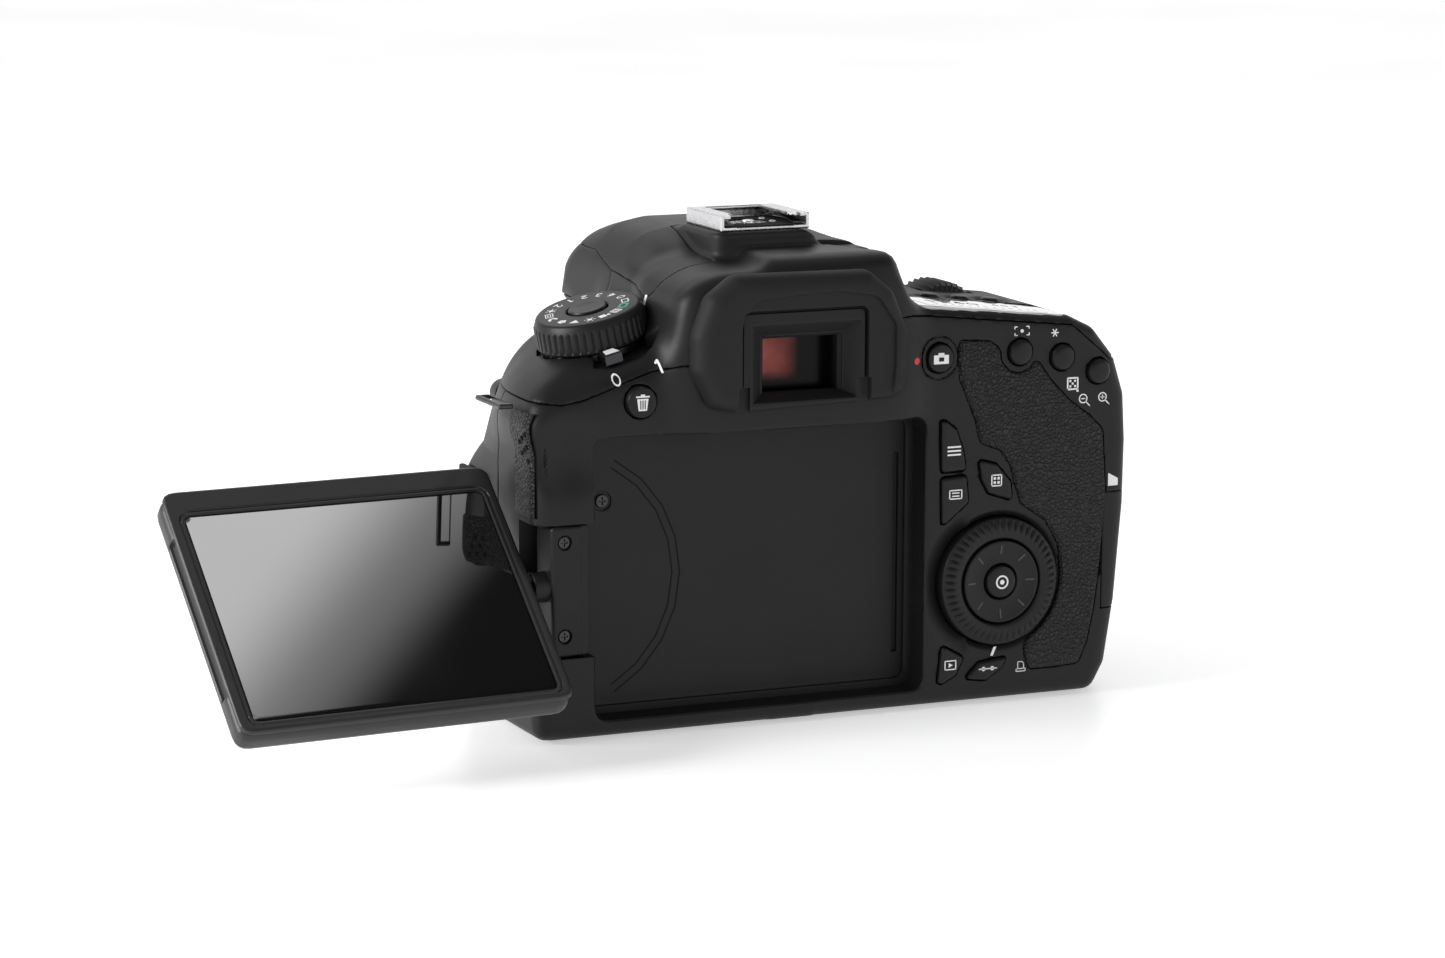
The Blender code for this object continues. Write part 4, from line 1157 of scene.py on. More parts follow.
def shell_marks():
    """White signs printed on the shell, with a red dot, and black marks painted as shade for the bay's arc grooves
    and the speaker holes.
    """
    rear = lambda name, shapes, u, v, size=1.0, turn=0.0, ink=WHITE_INK: print_marks(
        name, moved(shapes, scale=size, turn=turn), on_rear(u, v), ink, "camera_body", outer
    )
    rear("focus_sign", FOCUS, 52.6, 80.0, 0.9)
    rear("star_sign", STAR, 60.5, 79.2, 0.8)
    rear("grid_sign", GRID, 65.0, 68.0, 1.15)
    rear("less_sign", GLASS_LESS, 67.6, 64.6, 1.08)
    rear("more_sign", GLASS_MORE, 72.3, 64.7, 1.08)
    rear("dot_sign", [disc(0, 0, 0.28)], 66.2, 66.4)
    rear("printer_sign", PRINTER, 53.6, 7.2, 0.95)
    rear("off_sign", DIGITS["0"], -39.7, 74.6, 1.45, 0.22)
    rear("on_sign", DIGITS["1"], -30.4, 77.0, 1.45, 0.22)
    rear("record_dot", [disc(0, 0, 0.75, 20)], 26.9, 75.2, 1.0, 0.0, RED_INK)
    # painted shade: two thin black arcs drawn on the bay's floor where its arc grooves fall dark
    for index, radius in enumerate((25.9, 27.6)):
        arc = hoop(0, 0, radius, 0.3, -62, 62)
        print_marks(f"bay_arc_{index}", arc, on_rear(SWIVEL[0], 32.6, 7.5), BLACK, "camera_body", thick=0.02)
    index_turn = basis((-33.0, 16.6, 87.6), (0, -1, 0), (0, 0, 1))
    print_marks("dial_index", [bar((-0.5, -2.0), (0.5, 2.0))], index_turn, WHITE_INK, "camera_body", outer)
    # painted shade: black discs laid on the side rubber where the speaker's holes are dark
    vents = basis((-63.0, 0.0, 61.5), (0, -1, 0), (0, 0, 1))
    spots = ((3.3, 64.2), (7.0, 62.3), (5.1, 63.3), (3.6, 61.6), (7.0, 59.9), (5.3, 60.8), (3.8, 58.7))
    holes = [disc(-y, z - 61.5, 0.5, 12) for y, z in spots]
    print_marks("speaker_holes", holes, vents, BLACK, "camera_body", side_skin, 0.2)
    rear("wheel_mark", [[(-0.75, -1.0), (-0.1, -1.0), (0.75, 1.0), (0.1, 1.0)]], 46.9, 11.1, 0.95)


mode_dial()
power_lever()
shell_marks()


# ---- eyecup and the finder --------------------------------------------------------------------

EYECUP = rounded(
    [
        (-25.6, 76.0), (-25.6, 83.5), (-22.6, 91.5), (-16.5, 95.9), (14.0, 95.6), (19.6, 91.0), (23.3, 82.0),
        (23.3, 70.5), (20.4, 68.2), (-16, 67.1), (-21.5, 68.3),
    ],
    4.0,
)
CUP_FACE = rounded(
    [
        (-15.6, 62), (-15.6, 85.5), (-12.6, 90.6), (5.0, 91.9), (15.2, 90.2), (19.4, 84.0), (19.4, 76.0),
        (18.0, 62)
    ],
    3.5
)
CUP_FRAME = rounded([(-15.4, 60), (-15.4, 88.2), (13.1, 88.2), (13.1, 60)], 1.8)
EYE_LOW, EYE_HIGH = (-8.7, 70.6), (8.2, 81.9)


def eyecup(p):
    """The rubber hood: a stepped face, a funnel down to the glass, and two notches below."""
    x, y, z = p
    form = soft_max(polygon(x, z, EYECUP), between(y, -7.8, 0.1), 4.5)
    form = soft_max(form, -np.maximum(polygon(x, z, CUP_FACE), y + 6.9), 0.5)
    frame = polygon(x, z, CUP_FRAME)
    form = soft_max(form, -np.maximum(frame, y + 6.2), 0.3)
    form = np.maximum(form, -np.maximum(np.abs(frame + 0.2) - 0.35, y + 5.2))
    spread = np.clip(-2.0 - y, 0.0, 4.2) * 0.98
    sides = np.maximum(EYE_LOW[0] - spread - x, x - EYE_HIGH[0] - spread)
    ends = np.maximum(EYE_LOW[1] - 0.35 * spread - z, z - EYE_HIGH[1] - 0.85 * spread)
    form = soft_max(form, -np.maximum(sides, ends) * 0.75, 0.3)
    notches = np.minimum(
        block(p, (-16.4, -9, 60), (-13.4, -5.2, 72.6)), block(p, (10.9, -9, 60), (13.9, -5.2, 73.2))
    )
    return soft_max(form, -notches, 0.25)


def diopter():
    """The ribbed eyesight knob beside the finder."""
    ribs = 26
    profile = [(0, 3.3), (2.4, 3.35), (3.2, 3.25), (3.7, 3.0), (4.15, 2.5), (4.2, 2.0), (4.2, 0.0), (0, 0.0)]

    def rib(angles, row):
        wave = np.abs(np.sin(angles * ribs / 2))
        return (-0.32 * wave if row in (4, 5, 6) else 0.0 * angles), 0.0 * angles

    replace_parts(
        turned(
            "diopter_cap", profile, basis((21.6, 7, 91.6), (0, 1, 0), (-0.64, 0, 0.77)), KEY,
            "diopter_knob", ribs * 8, rib
        ),
        "diopter_knob"
    )


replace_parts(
    solid("eyecup_hood", eyecup, (-25.7, -7.8, 67), (23.4, 0.2, 96), 0.3, SOFT, "camera_body"), "eyecup"
)
diopter()

# ---- monitor and hinge ------------------------------------------------------------------------


def hinge_turn(tilt):
    """Local X along the tilt axis, Y out of the screen and Z up the panel, at the swivel centre."""
    along = Vector((math.cos(SWIVEL_ANGLE), -math.sin(SWIVEL_ANGLE), 0))
    turn = Matrix((along, Vector((0, 0, 1)).cross(along), Vector((0, 0, 1)))).transposed().to_4x4()
    return Matrix.Translation(place(*SWIVEL)) @ turn @ Matrix.Rotation(tilt, 4, "X")


PANEL_NEAR, PANEL_FAR = 8.4, 79.8  # along the tilt axis, from the swivel axis
PANEL_TALL, PANEL_THICK = 29.5, 3.4  # half of each
PANEL_EDGE = rounded(
    [
        (PANEL_NEAR, -PANEL_TALL), (PANEL_NEAR, PANEL_TALL), (PANEL_FAR, PANEL_TALL),
        (PANEL_FAR, -PANEL_TALL)
    ], 3.2
)
HINGE_SCREWS = (9.5, -10.0)  # heights of the screws in the bracket
PANEL_SCREWS = (-24.0, 24.0)  # and in the monitor's back
WINDOW = rounded([(11.4, -27.0), (11.4, 23.2), (76.6, 23.2), (76.6, -27.0)], 1.6)


def monitor_back(p):
    """The monitor's back shell, with the socket for the tilt shaft."""
    u, t, v = p
    form = soft_max(polygon(u, v, PANEL_EDGE), between(t, -PANEL_THICK, 1.95), 2.2)
    inset = polygon(u, v, PANEL_EDGE) + 4.2
    form = soft_max(form, -np.maximum(np.abs(inset) - 0.22, t + 3.1), 0.15)
    form = soft_max(form, -block(p, (79.0, -0.9, -19), (81.0, 3.0, 19), 0.3), 0.4)
    form = soft_max(form, -block(p, (70.0, -4.0, -9), (81.0, -2.7, 9), 0.5), 0.5)
    for v_screw in PANEL_SCREWS:
        form = np.maximum(form, -cylinder(p, (13.5, -3.0, v_screw), (0, -1, 0), 1.5, 0.0, 2.0))
    return np.maximum(form, -cylinder(p, (6.0, 0, 0), (1, 0, 0), 1.46, 0.0, 6.2))


def monitor_bezel(p):
    """The frame round the screen, with a fine groove along the window."""
    u, t, v = p
    form = soft_max(polygon(u, v, PANEL_EDGE), between(t, 2.07, PANEL_THICK), 0.9)
    window = polygon(u, v, WINDOW)
    form = soft_max(form, -window, 0.35)
    form = soft_max(form, -np.maximum(np.abs(window - 0.95) - 0.14, 3.05 - t), 0.15)
    return soft_max(form, -block(p, (79.0, -0.9, -19), (81.0, 2.6, 19), 0.3), 0.3)


def monitor_glass(p):
    u, t, v = p
    return soft_max(polygon(u, v, WINDOW) + 0.12, between(t, 2.2, 3.0), 0.2)


def hinge_bracket(p):
    """The bracket with its swivel pins and tilt shaft."""
    form = block(p, (-4.3, -3.9, -14.3), (4.3, 3.9, 12.9), 0.9)
    form = soft_max(form, -block(p, (-5.0, 3.5, -15.0), (-2.4, 5.0, 14.0), 0.2), 0.3)
    for v_screw in HINGE_SCREWS:
        form = soft_max(form, -cylinder(p, (1.4, 3.1, v_screw), (0, 1, 0), 1.55, 0.0, 3.0), 0.2)
    form = np.minimum(form, cylinder(p, (0, 0, 0), (0, 0, 1), 1.5, -16.0, 15.0))
    form = np.minimum(form, cylinder(p, (3.0, 0, 0), (1, 0, 0), 3.2, 0.0, 4.6, 0.4))
    return np.minimum(form, cylinder(p, (6.0, 0, 0), (1, 0, 0), 1.4, 0.0, 5.5, 0.2))


def screw(name, turn, radius, body):
    """A small cross-head screw standing on the face's origin."""
    def form(p):
        u, v, w = p
        head = soft_max(np.sqrt(u * u + v * v) - radius, between(w, -0.6, 0.45), 0.3)
        narrow, wide = np.minimum(np.abs(u), np.abs(v)), np.maximum(np.abs(u), np.abs(v))
        cross = np.maximum(narrow - 0.16, wide - 0.6 * radius)
        return np.maximum(head, -np.maximum(cross, 0.1 - w))
    solid(
        name, form, (-radius, -radius, -0.6), (radius, radius, 0.5), radius / 11, DARK_METAL, body,
        turn=turn
    )


def monitor():
    rest, tilted = hinge_turn(0.0), hinge_turn(TILT_ANGLE)
    low, high = (PANEL_NEAR, -PANEL_THICK, -PANEL_TALL), (PANEL_FAR, PANEL_THICK, PANEL_TALL)
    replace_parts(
        solid("monitor_shell", monitor_back, low, high, 0.36, LIT_PANEL_SHELL, "monitor", turn=tilted),
        "monitor_back"
    )
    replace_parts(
        solid("monitor_frame", monitor_bezel, low, high, 0.3, LIT_PANEL_SHELL, "monitor", turn=tilted),
        "monitor_bezel"
    )
    glass = solid(
        "monitor_pane", monitor_glass, (11, 2.1, -27.2), (77, 3.1, 23.4), 0.4, PANE, "monitor", turn=tilted
    )
    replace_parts(glass, "monitor_glass")
    bracket = solid(
        "hinge_arm", hinge_bracket, (-4.4, -4, -16.1), (11.6, 4, 15.1), 0.22, SHELL, "hinge_bracket",
        turn=rest
    )
    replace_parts(bracket, "hinge_bracket")
    for index, v_screw in enumerate(HINGE_SCREWS):
        spot = Matrix.Translation(Vector((1.4, 3.2, v_screw)) * MM)
        screw(
            f"hinge_screw_{index}", rest @ spot @ Matrix.Rotation(-math.pi / 2, 4, "X"), 1.3,
            "hinge_bracket"
        )
    for index, v_screw in enumerate(PANEL_SCREWS):
        spot = Matrix.Translation(Vector((13.5, -3.1, v_screw)) * MM)
        screw(f"panel_screw_{index}", tilted @ spot @ Matrix.Rotation(math.pi / 2, 4, "X"), 1.2, "monitor")
    screw("bay_screw", basis((-40.5, 7.9, 48.6), (1, 0, 0), (0, 0, 1)), 1.4, "camera_body")


monitor()

# ---- accessory shoe and flash -----------------------------------------------------------------


def hot_shoe(p):
    """The bright rails of the accessory shoe."""
    form = block(p, (-10.2, 16.0, 101.97), (10.2, 34.3, 105.4), 0.35)
    form = soft_max(form, -block(p, (-9.4, 10, 102.8), (9.4, 33.6, 104.6), 0.2), 0.15)
    mouth = polygon(p[0], p[1], [(-6.4, 10), (-6.4, 33), (6.4, 33), (6.4, 10)])
    form = soft_max(form, -np.maximum(mouth, 102.8 - p[2]), 0.3)
    side = soft_max(np.abs(p[0]) - 20.0, 19.2 - p[1] - 0.9 * (np.abs(p[0]) - 6.4), 0.0)
    return np.maximum(form, -np.maximum(np.maximum(-side, np.abs(p[0]) - 8.0), 103.2 - p[2]))


def shoe_springs(p):
    """A bent strip of spring steel under each lip."""
    x, y, z = p
    lift = 103.3 + 0.75 * np.sin(np.clip((y - 17.0) / 15.0, 0.0, 1.0) * math.pi)
    strip = np.maximum(np.abs(z - lift) - 0.16, np.abs(np.abs(x) - 7.9) - 1.1)
    return np.maximum(strip, between(y, 17.0, 32.0))


def shoe_pieces():
    shoe = solid("shoe_rails", hot_shoe, (-10.2, 16, 101.9), (10.2, 34.3, 105.4), 0.22, STEEL, "camera_body")
    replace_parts(shoe, "hot_shoe")
    solid(
        "shoe_springs", shoe_springs, (-9.1, 16.9, 102.9), (9.1, 32.1, 104.4), 0.15, DARK_METAL,
        "camera_body"
    )
    floor = lambda p: soft_max(
        block(p, (-9.3, 16.3, 102.6), (9.3, 33.5, 102.98), 0.1),
        -cylinder(p, (0, 25, 90), (0, 0, 1), 4.1, 0.0, 30.0), 0.1
    )
    solid("shoe_floor_plate", floor, (-9.4, 16.2, 102.5), (9.4, 33.6, 103.0), 0.2, BLACK, "camera_body")
    contacts = [(0, 25, 1.5)] + [(x, y, 0.8) for y in (22.6, 28.0) for x in (-4.6, 4.6)]
    for index, (x, y, radius) in enumerate(contacts):
        dome = [
            (0, 0.5), (0.7 * radius, 0.42), (0.95 * radius, 0.2), (radius, 0.0), (radius, -0.4), (0, -0.4)
        ]
        turned(
            f"shoe_contact_{index}", dome, basis((x, y, 102.85), (1, 0, 0), (0, 1, 0)), STEEL,
            "camera_body", 24
        )


def flash_hood(p):
    """The flash head: the part of the hump that lifts, and the lamp's tube under it."""
    y, z = p[1], p[2]
    hood = soft_max(outer(p), flash_room(p, 0.0), LINE)
    hood = soft_max(hood, z - 97.6 - 1.3 * np.maximum(y - 20.4, 0.0), 0.3)  # clears the cover when raised
    tube = block(p, (-19, 41, 87.2), (19, 62, 97), 0.6)
    return np.minimum(hood, tube)


def flash_window(p):
    """The lamp's pane, with fine grooves across its face."""
    pane = block(p, (-16.5, 61.5, 88.4), (16.5, 62.5, 94.6), 0.3)
    grooves = np.maximum(np.abs((p[2] % 0.8) - 0.4) - 0.2, 62.3 - p[1])
    return soft_max(pane, -grooves, 0.05)


shoe_pieces()
FINE = 0.4
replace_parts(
    solid("flash_hood", flash_hood, (-31, 12, 87), (31, 74, 104), FINE, SHELL, "flash_head"), "flash_head"
)
solid("flash_window", flash_window, (-16.6, 61.4, 88.3), (16.6, 62.6, 94.7), 0.2, LAMP_PANEL, "flash_head")

# ---- right shoulder ---------------------------------------------------------------------------

SHOULDER = Matrix.Translation(place(24.0, 0, 86.8)) @ Matrix.Rotation(TOP_SLOPE, 4, "Y")
TOP_PANE = rounded([(3.0, 1.9), (41.0, 2.8), (42.2, 10.0), (41.4, 18.6), (33.0, 19.9), (4.0, 19.9)], 2.5)
TOP_KEYS = ["af_mode_button", "drive_button", "iso_button", "metering_button"]
FIRST_KEY, KEY_PITCH, KEY_ROW = 11.5, 7.4, 24.5  # along the shoulder, between keys, and forwards
DIAL_CENTRE = (52.0, 35.5, 77.2)  # rear end of the main dial's axle
DIAL_RADIUS, DIAL_LONG = 9.0, 11.0


def shoulder_cuts(p):
    """Everything let into the sloping shoulder: the display, four keys, the dial and the shutter key."""
    x, y, z = p
    c, s = math.cos(TOP_SLOPE), math.sin(TOP_SLOPE)
    u, w = (x - 24.0) * c - (z - 86.8) * s, (x - 24.0) * s + (z - 86.8) * c
    cuts = [np.maximum(polygon(u, y, TOP_PANE) - 0.1, -1.2 - w)]
    for index in range(4):
        out = np.sqrt((u - FIRST_KEY - KEY_PITCH * index) ** 2 + (y - KEY_ROW) ** 2)
        cuts.append(np.maximum(out - 2.35, -3.5 - w))
        cuts.append(out - 3.5 - 2.0 * w)
    cuts.append(cylinder(p, DIAL_CENTRE, (0, 1, 0), DIAL_RADIUS + 0.5, -0.4, DIAL_LONG + 0.4))
    cuts.append(cylinder(p, (62.0, 59.0, 73.1), (0.0, 0.30, 0.954), 6.5, 0.0, 14.0))
    cuts.append(cylinder(p, (21.2, 7.0, 91.27), (0.77, 0, 0.64), 4.5, 0.0, 12.0))
    return np.minimum.reduce(np.broadcast_arrays(*cuts))


def shoulder_pieces():
    pane = lambda p: soft_max(polygon(p[0], p[1], TOP_PANE) + 0.1, between(p[2], -1.1, 0.28), 0.25)
    glass = solid(
        "top_pane", pane, (2.9, 1.8, -1.2), (42.3, 20, 0.3), 0.3, TOP_GLASS, "camera_body", turn=SHOULDER
    )
    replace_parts(glass, "top_display_window")
    face = SHOULDER @ Matrix.Translation((0, 0, 0.29 * MM))
    print_marks(
        "top_display_field", [bar((8.5, 4.8), (37.5, 17.4))], face, LCD_FIELD, "camera_body", thick=0.02
    )
    digits = [moved(DIGITS[d], 13.0 + 3.4 * i, 12.6, 2.0) for i, d in enumerate("1240")]
    small = [moved(DIGITS[d], 29.0 + 2.4 * i, 13.4, 1.2) for i, d in enumerate("403")]
    scale = [bar((12.0 + 2.0 * i, 7.0), (12.2 + 2.0 * i, 8.2 if i % 3 else 9.0)) for i in range(13)]
    print_marks("top_display_digits", sum(digits + small, []) + scale, face, BLACK, "camera_body", thick=0.03)
    for index, name in enumerate(TOP_KEYS):
        crown = [(0, 3.6), (1.2, 3.55), (1.75, 3.4), (2.05, 3.05), (2.1, 2.7), (2.1, 0.0), (0, 0.0)]
        spot = SHOULDER @ Matrix.Translation(Vector((FIRST_KEY + KEY_PITCH * index, KEY_ROW, -2.6)) * MM)
        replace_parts(turned(name + "_cap", crown, spot, KEY, name, 32), name)
    ribs = 38
    dial = [(0, 0.0), (8.2, 0.0), (8.7, 0.35), (DIAL_RADIUS, 0.9), (DIAL_RADIUS, 10.1), (8.7, 10.65),
            (8.2, DIAL_LONG), (0, DIAL_LONG)]

    def knurl(angles, row):
        wave = np.abs(np.sin(angles * ribs / 2)) ** 1.3
        return (-0.75 * wave if row in (2, 3, 4, 5) else 0.0 * angles), 0.0 * angles

    wheel_turn = basis(DIAL_CENTRE, (-1, 0, 0), (0, 0, 1))
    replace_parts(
        turned("finger_dial", dial, wheel_turn, DIAL, "main_dial", ribs * 8, knurl, sharp=50.0), "main_dial"
    )
    press = [(0, 4.45), (2.5, 4.5), (4.6, 4.75), (5.6, 4.9), (6.0, 4.7), (6.2, 4.2), (6.2, 0.0), (0, 0.0)]
    shutter_turn = basis((62.0, 59.5, 74.6), (1, 0, 0), (0, 0.954, -0.30))
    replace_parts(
        turned("shutter_cap", press, shutter_turn, DARK_METAL, "shutter_button", 64), "shutter_button"
    )


shoulder_pieces()

# ---- front, sides and base --------------------------------------------------------------------


def grip_skin(p):
    """The leather-grained rubber round the grip, let into the cover to just below flush."""
    form = np.maximum(outer(p) - 0.05, -(outer(p) + 1.2))
    return soft_max(form, block(p, (40, 50, 8), (95, 80, 62), 1.0), 0.4)


def grip_seat(p):
    """The pocket in the front cover for the grip's rubber."""
    return np.maximum(block(p, (39.8, 49.8, 7.8), (95, 81, 62.2), 1.0), -(outer(p) + 1.25))


def port_cover(rear, front):
    """A rubber flap over the sockets on the left, between two places from rear to front."""
    def form(p):
        body = block(p, (-58.6, rear, 10), (-57.3, front, 52), 0.5)
        grip_lip = block(p, (-59.5, rear + 1.0, 46.5), (-58.2, front - 1.0, 48.0), 0.3)
        return soft_max(body, -grip_lip, 0.3)
    return form


def card_lid(p):
    """The memory card door with its thumb scoop."""
    form = soft_max(outer(p), block(p, (73.0, -2.0, 18.5), (90.0, 21.0, 43.8), 0.4), 0.3)
    thumb = cylinder(p, (86.0, 6.0, 31.0), (0, 0, 1), 3.2, -7.0, 7.0, 1.0)
    return np.maximum(soft_max(form, -thumb, 0.6), -block(p, (60, 2.5, 10), (77.6, 30, 50)))


def mount_ring(p):
    """The bright lens mount: a flat ring with three bayonet tabs and the pockets of its screws."""
    x, y, z = p
    out = np.sqrt(x * x + (z - LENS_Z) ** 2)
    ring = soft_max(np.maximum(out - 32.5, 27.0 - out), between(y, 66.8, 70.0), 0.5)
    turn = np.arctan2(z - LENS_Z, x)
    tab = np.maximum(np.maximum(out - 27.6, 25.4 - out), between(y, 68.6, 69.8))
    tab = np.maximum(tab, 26.0 * (0.3 - np.cos(3 * turn + 0.6)) / 3)
    ring = np.minimum(ring, tab)
    for angle in (40, 130, 220, 310):
        a = math.radians(angle)
        ring = soft_max(
            ring,
            -cylinder(p, (29.9 * math.cos(a), 69.4, LENS_Z + 29.9 * math.sin(a)), (0, 1, 0), 1.35, 0.0, 3.0),
            0.1
        )
    return ring


def strap_lug(x, y, side):
    """The flat loop for a strap: its form and its lowest and highest corners."""
    low, high = sorted((x, x + side * 3.2))
    slot = sorted((x + side * 0.2, x + side * 2.3))
    def form(p):
        loop = block(p, (low, y - 7, 69.5), (high, y + 7, 70.6), 0.5)
        return soft_max(loop, -block(p, (slot[0], y - 6, 60), (slot[1], y + 6, 80)), 0.2)
    return form, (low, y - 7, 69.4), (high, y + 7, 71.0)


def front_and_sides():
    skin_piece = solid("grip_skin", grip_skin, (40, 50, 8), (84.2, 72.3, 62), 0.4, HIDE, "camera_body")
    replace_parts(skin_piece, "grip_rubber")
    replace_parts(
        solid("side_skin", side_skin, (-61, 2, 46), (-49, 12, 70), 0.25, HIDE, "camera_body"), "side_rubber"
    )
    for name, (rear, front) in PORT_COVERS.items():
        flap = solid(
            name + "_flap", port_cover(rear, front), (-58.6, rear, 10), (-57.3, front, 52), 0.25, SOFT, name
        )
        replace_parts(flap, name)
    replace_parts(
        solid("card_lid", card_lid, (73, -2, 18.5), (84.5, 21, 43.8), 0.3, SHELL, "card_door"), "card_door"
    )
    lid = lambda p: soft_max(
        block(
            p, (49.3, 16.0, 0.0), (74.9, 57.6, 2.6), 0.35
        ), -block(p, (50.2, 29.5, -2), (56.8, 44.5, 1.2), 0.3), 0.2
    )
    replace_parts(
        solid("battery_lid", lid, (49.3, 16, 0), (74.9, 57.6, 2.6), 0.35, SHELL, "battery_door"),
        "battery_door"
    )
    latch = lambda p: soft_max(
        block(p, (50.6, 31.0, 0.1), (54.6, 43.0, 0.9), 0.2),
        -(np.abs((p[1] % 1.6) - 0.8) - 0.25 + 4 * (p[2] - 0.1)), 0.1
    )
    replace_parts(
        solid("battery_slider", latch, (50.6, 31, 0.1), (54.6, 43, 0.9), 0.15, KEY, "battery_latch"),
        "battery_latch"
    )
    ring = solid("mount_ring", mount_ring, (-32.5, 66.8, 13.5), (32.5, 70, 78.5), 0.35, STEEL, "camera_body")
    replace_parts(ring, "lens_mount_ring")
    for name, x, z, radius in (("lens_release_button", -46.5, 36.0, 5.2), ("flash_button", -47.0, 66.0, 3.0)):
        crown = [
            (0, 1.7), (0.5 * radius, 1.75), (0.82 * radius, 1.95), (0.95 * radius, 1.7), (radius, 1.2),
            (radius, -2.0), (0, -2.0)
        ]
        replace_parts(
            turned(name + "_cap", crown, basis((x, 46.0, z), (-1, 0, 0), (0, 0, 1)), KEY, name, 48), name
        )
    socket = [(3.2, 0.05), (3.6, 0.0), (7.4, 0.0), (8.0, 0.3), (8.0, 5.0), (3.2, 5.0)]
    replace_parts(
        turned(
            "tripod_bush", socket, basis((0, 38, 0), (1, 0, 0), (0, 1, 0)), STEEL, "camera_body", 64,
            hollow=True
        ),
        "tripod_socket"
    )
    for name, x, y, side in (("strap_lug_left", -61.0, 11.5, -1), ("strap_lug_right", 79.4, 30.0, 1)):
        form, low, high = strap_lug(x, y, side)
        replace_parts(solid(name + "_bar", form, low, high, 0.15, DARK_METAL, "camera_body"), name)
    print_marks("card_mark", TRIANGLE, on_rear(75.3, 46.6), WHITE_INK, "camera_body", outer)


front_and_sides()

# ---- parts that keep their CAD shape ----------------------------------------------------------

INSIDE = {
    "mirror_box": BLACK, "sensor_unit": SENSOR, "focusing_screen": FROST, "pentamirror": SILVER,
    "eyepiece_lens": EYE_GLASS, "main_board": BOARD, "battery": BATTERY, "sd_card": CARD, "mirror": SILVER,
    "sub_mirror": SILVER, "monitor_display": BLACK,
}
for name, made in INSIDE.items():
    piece = frame["nodes"][name]
    piece.data.materials.clear()
    piece.data.materials.append(made)


# ---- the covers themselves --------------------------------------------------------------------

BODY_STEP = 0.5
solid("rear_shell", rear_cover, (-62, -4, -1), (85, 23, 84), BODY_STEP, SHELL, "camera_body")
solid("front_shell", front_cover, (-62, 21, -1), (86, 74, 84), BODY_STEP, SHELL, "camera_body")
solid("top_shell", top_cover, (-62, -4, 62), (86, 74, 106), BODY_STEP, SHELL, "camera_body")
solid("bottom_shell", bottom_cover, (-56, 10, -1), (81, 64, 5), BODY_STEP, SHELL, "camera_body")
for cad in ("rear_cover", "front_cover", "top_cover", "bottom_cover"):
    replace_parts(bpy.data.objects[cad.replace("cover", "shell")], cad)


# ---- camera, floor and light ------------------------------------------------------------------

WALL_LIGHT, CEILING_LIGHT, BOX_LIGHT = 1.05, 0.32, 2.6
FLOOR_GLOW = 0.45  # the sweep is lit from below as well, so it stays white
FLAG_ACROSS = (1.0, -0.74, 0.0)  # the way the flag's edge is crossed, from lit to dark


def stage_floor():
    mesh = bpy.data.meshes.new("floor")
    reach, below = 6.0, -0.0004
    corners = [(-reach, -reach, below), (reach, -reach, below), (reach, reach, below), (-reach, reach, below)]
    mesh.from_pydata(corners, [], [(0, 1, 2, 3)])
    made, shader = skin("floor_paper", (0.93, 0.93, 0.935), 0.35)
    where = node(made, "ShaderNodeTexCoord")["Object"]
    mottled(made, shader, where, 4.0, (0.925, 0.925, 0.93), (0.94, 0.94, 0.945), 0.30, 0.38)
    shader.inputs["Emission Color"].default_value = (1.0, 1.0, 1.0, 1.0)
    shader.inputs["Emission Strength"].default_value = FLOOR_GLOW
    mesh.materials.append(made)
    floor = bpy.data.objects.new("floor", mesh)
    bpy.context.scene.collection.objects.link(floor)


def lamp(name, at, aim, size, power, colour=(1, 1, 1)):
    light = bpy.data.lights.new(name, "AREA")
    light.shape, light.size, light.size_y = "RECTANGLE", size[0], size[1]
    light.energy, light.color = power, colour
    made = bpy.data.objects.new(name, light)
    made.location = at
    made.rotation_euler = (Vector(aim) - Vector(at)).to_track_quat("-Z", "Y").to_euler()
    bpy.context.scene.collection.objects.link(made)


def sky_step(made, value, start, end, low, high):
    """A soft step between two values."""
    return node(
        made, "ShaderNodeMapRange", {"interpolation_type": "SMOOTHSTEP"},
        i0=value, From_Min=start, From_Max=end, To_Min=low, To_Max=high,
    )["Result"]


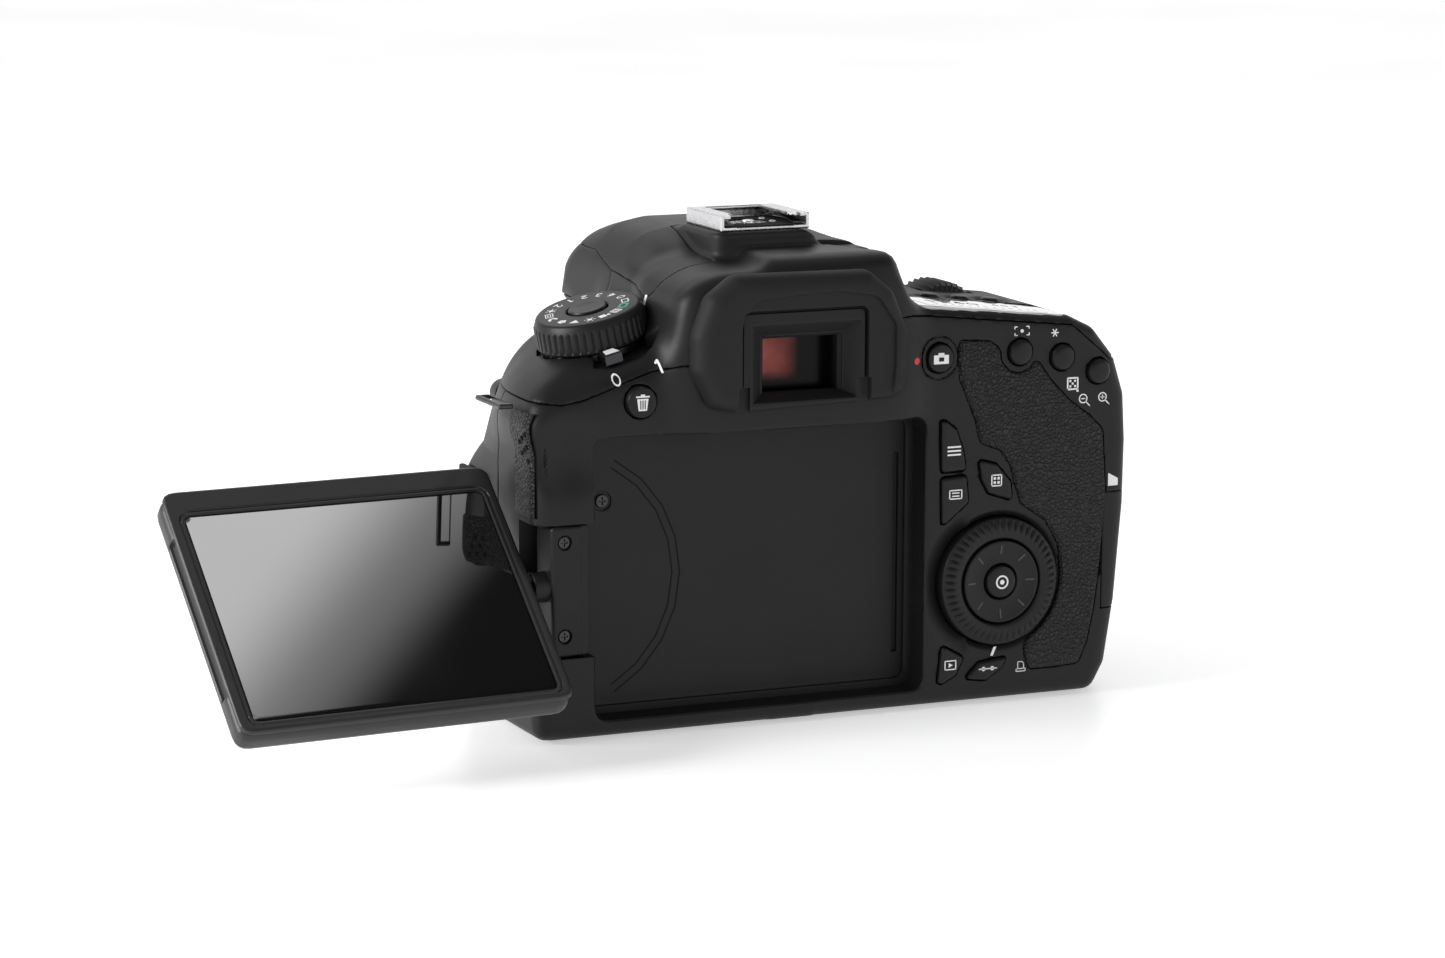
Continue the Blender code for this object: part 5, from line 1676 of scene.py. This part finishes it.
def studio():
    """A white tent, dimmer overhead, with a soft box above and a dark flag on its right."""
    world = bpy.data.worlds.new("studio")
    bpy.context.scene.world = world
    world.use_nodes = True
    ray = node(world, "ShaderNodeTexCoord")["Generated"]
    height = node(world, "ShaderNodeSeparateXYZ", Vector=ray)["Z"]
    across = node(
        world, "ShaderNodeVectorMath", {"operation": "DOT_PRODUCT"}, i0=ray, i1=FLAG_ACROSS
    )["Value"]
    ceiling = sky_step(world, height, 0.12, 0.55, WALL_LIGHT, CEILING_LIGHT)
    tall = sky_step(world, height, 0.84, 0.90, 0.0, BOX_LIGHT)
    wide = sky_step(world, across, 0.36, 0.42, 0.0, 1.0)
    lit = node(world, "ShaderNodeMath", {"operation": "MULTIPLY_ADD"}, i0=tall, i1=wide, i2=ceiling)["Value"]
    first = sky_step(world, across, 0.446, 0.480, 1.0, 0.30)
    second = sky_step(world, across, 0.476, 0.500, 1.0, 0.02)
    flag = node(world, "ShaderNodeMath", {"operation": "MULTIPLY"}, i0=first, i1=second)["Value"]
    overhead = sky_step(world, height, 0.60, 0.75, 0.0, 1.0)
    shade = node(world, "ShaderNodeMix", i0=overhead, i2=1.0, i3=flag)[0]
    total = node(world, "ShaderNodeMath", {"operation": "MULTIPLY"}, i0=lit, i1=shade)["Value"]
    backdrop = world.node_tree.nodes["Background"]
    backdrop.inputs["Color"].default_value = (1.0, 1.0, 1.0, 1.0)
    link(world, total, backdrop.inputs["Strength"])
    lamp("key", (-1.0, 0.05, 0.5), (0.0, 0.0, 0.05), (0.5, 0.5), 11.0)
    lamp("fill", (0.9, -0.9, 0.55), (0.0, 0.0, 0.05), (0.8, 0.8), 1.2)
    lamp("back", (0.1, 0.9, 0.9), (0.0, 0.0, 0.06), (1.2, 0.6), 3.0)
    bpy.context.scene.view_settings.view_transform = "Standard"


def photo_camera():
    """The camera: seen from behind, to the left and a little above, through a long lens."""
    turn, lift, roll = math.radians(-23.96), math.radians(10.07), math.radians(0.26)
    back = Vector((math.sin(turn) * math.cos(lift), -math.cos(turn) * math.cos(lift), math.sin(lift)))
    level = Vector((math.cos(turn), math.sin(turn), 0.0))
    upright = back.cross(level)
    right = level * math.cos(roll) + upright * math.sin(roll)
    up = upright * math.cos(roll) - level * math.sin(roll)
    target = place(0.0, 0.0, 50.0) + (level * -15.27 + upright * 1.62) * MM
    lens = bpy.data.cameras.new("photo_camera")
    lens.lens, lens.sensor_width, lens.sensor_fit = 105.3, 36.0, "HORIZONTAL"
    lens.clip_start, lens.clip_end = 0.05, 50.0
    made = bpy.data.objects.new("photo_camera", lens)
    made.matrix_world = Matrix.Translation(
        target + back * 0.87953
    ) @ Matrix((right, up, back)).transposed().to_4x4()
    bpy.context.scene.collection.objects.link(made)
    bpy.context.scene.camera = made


stage_floor()
studio()
photo_camera()
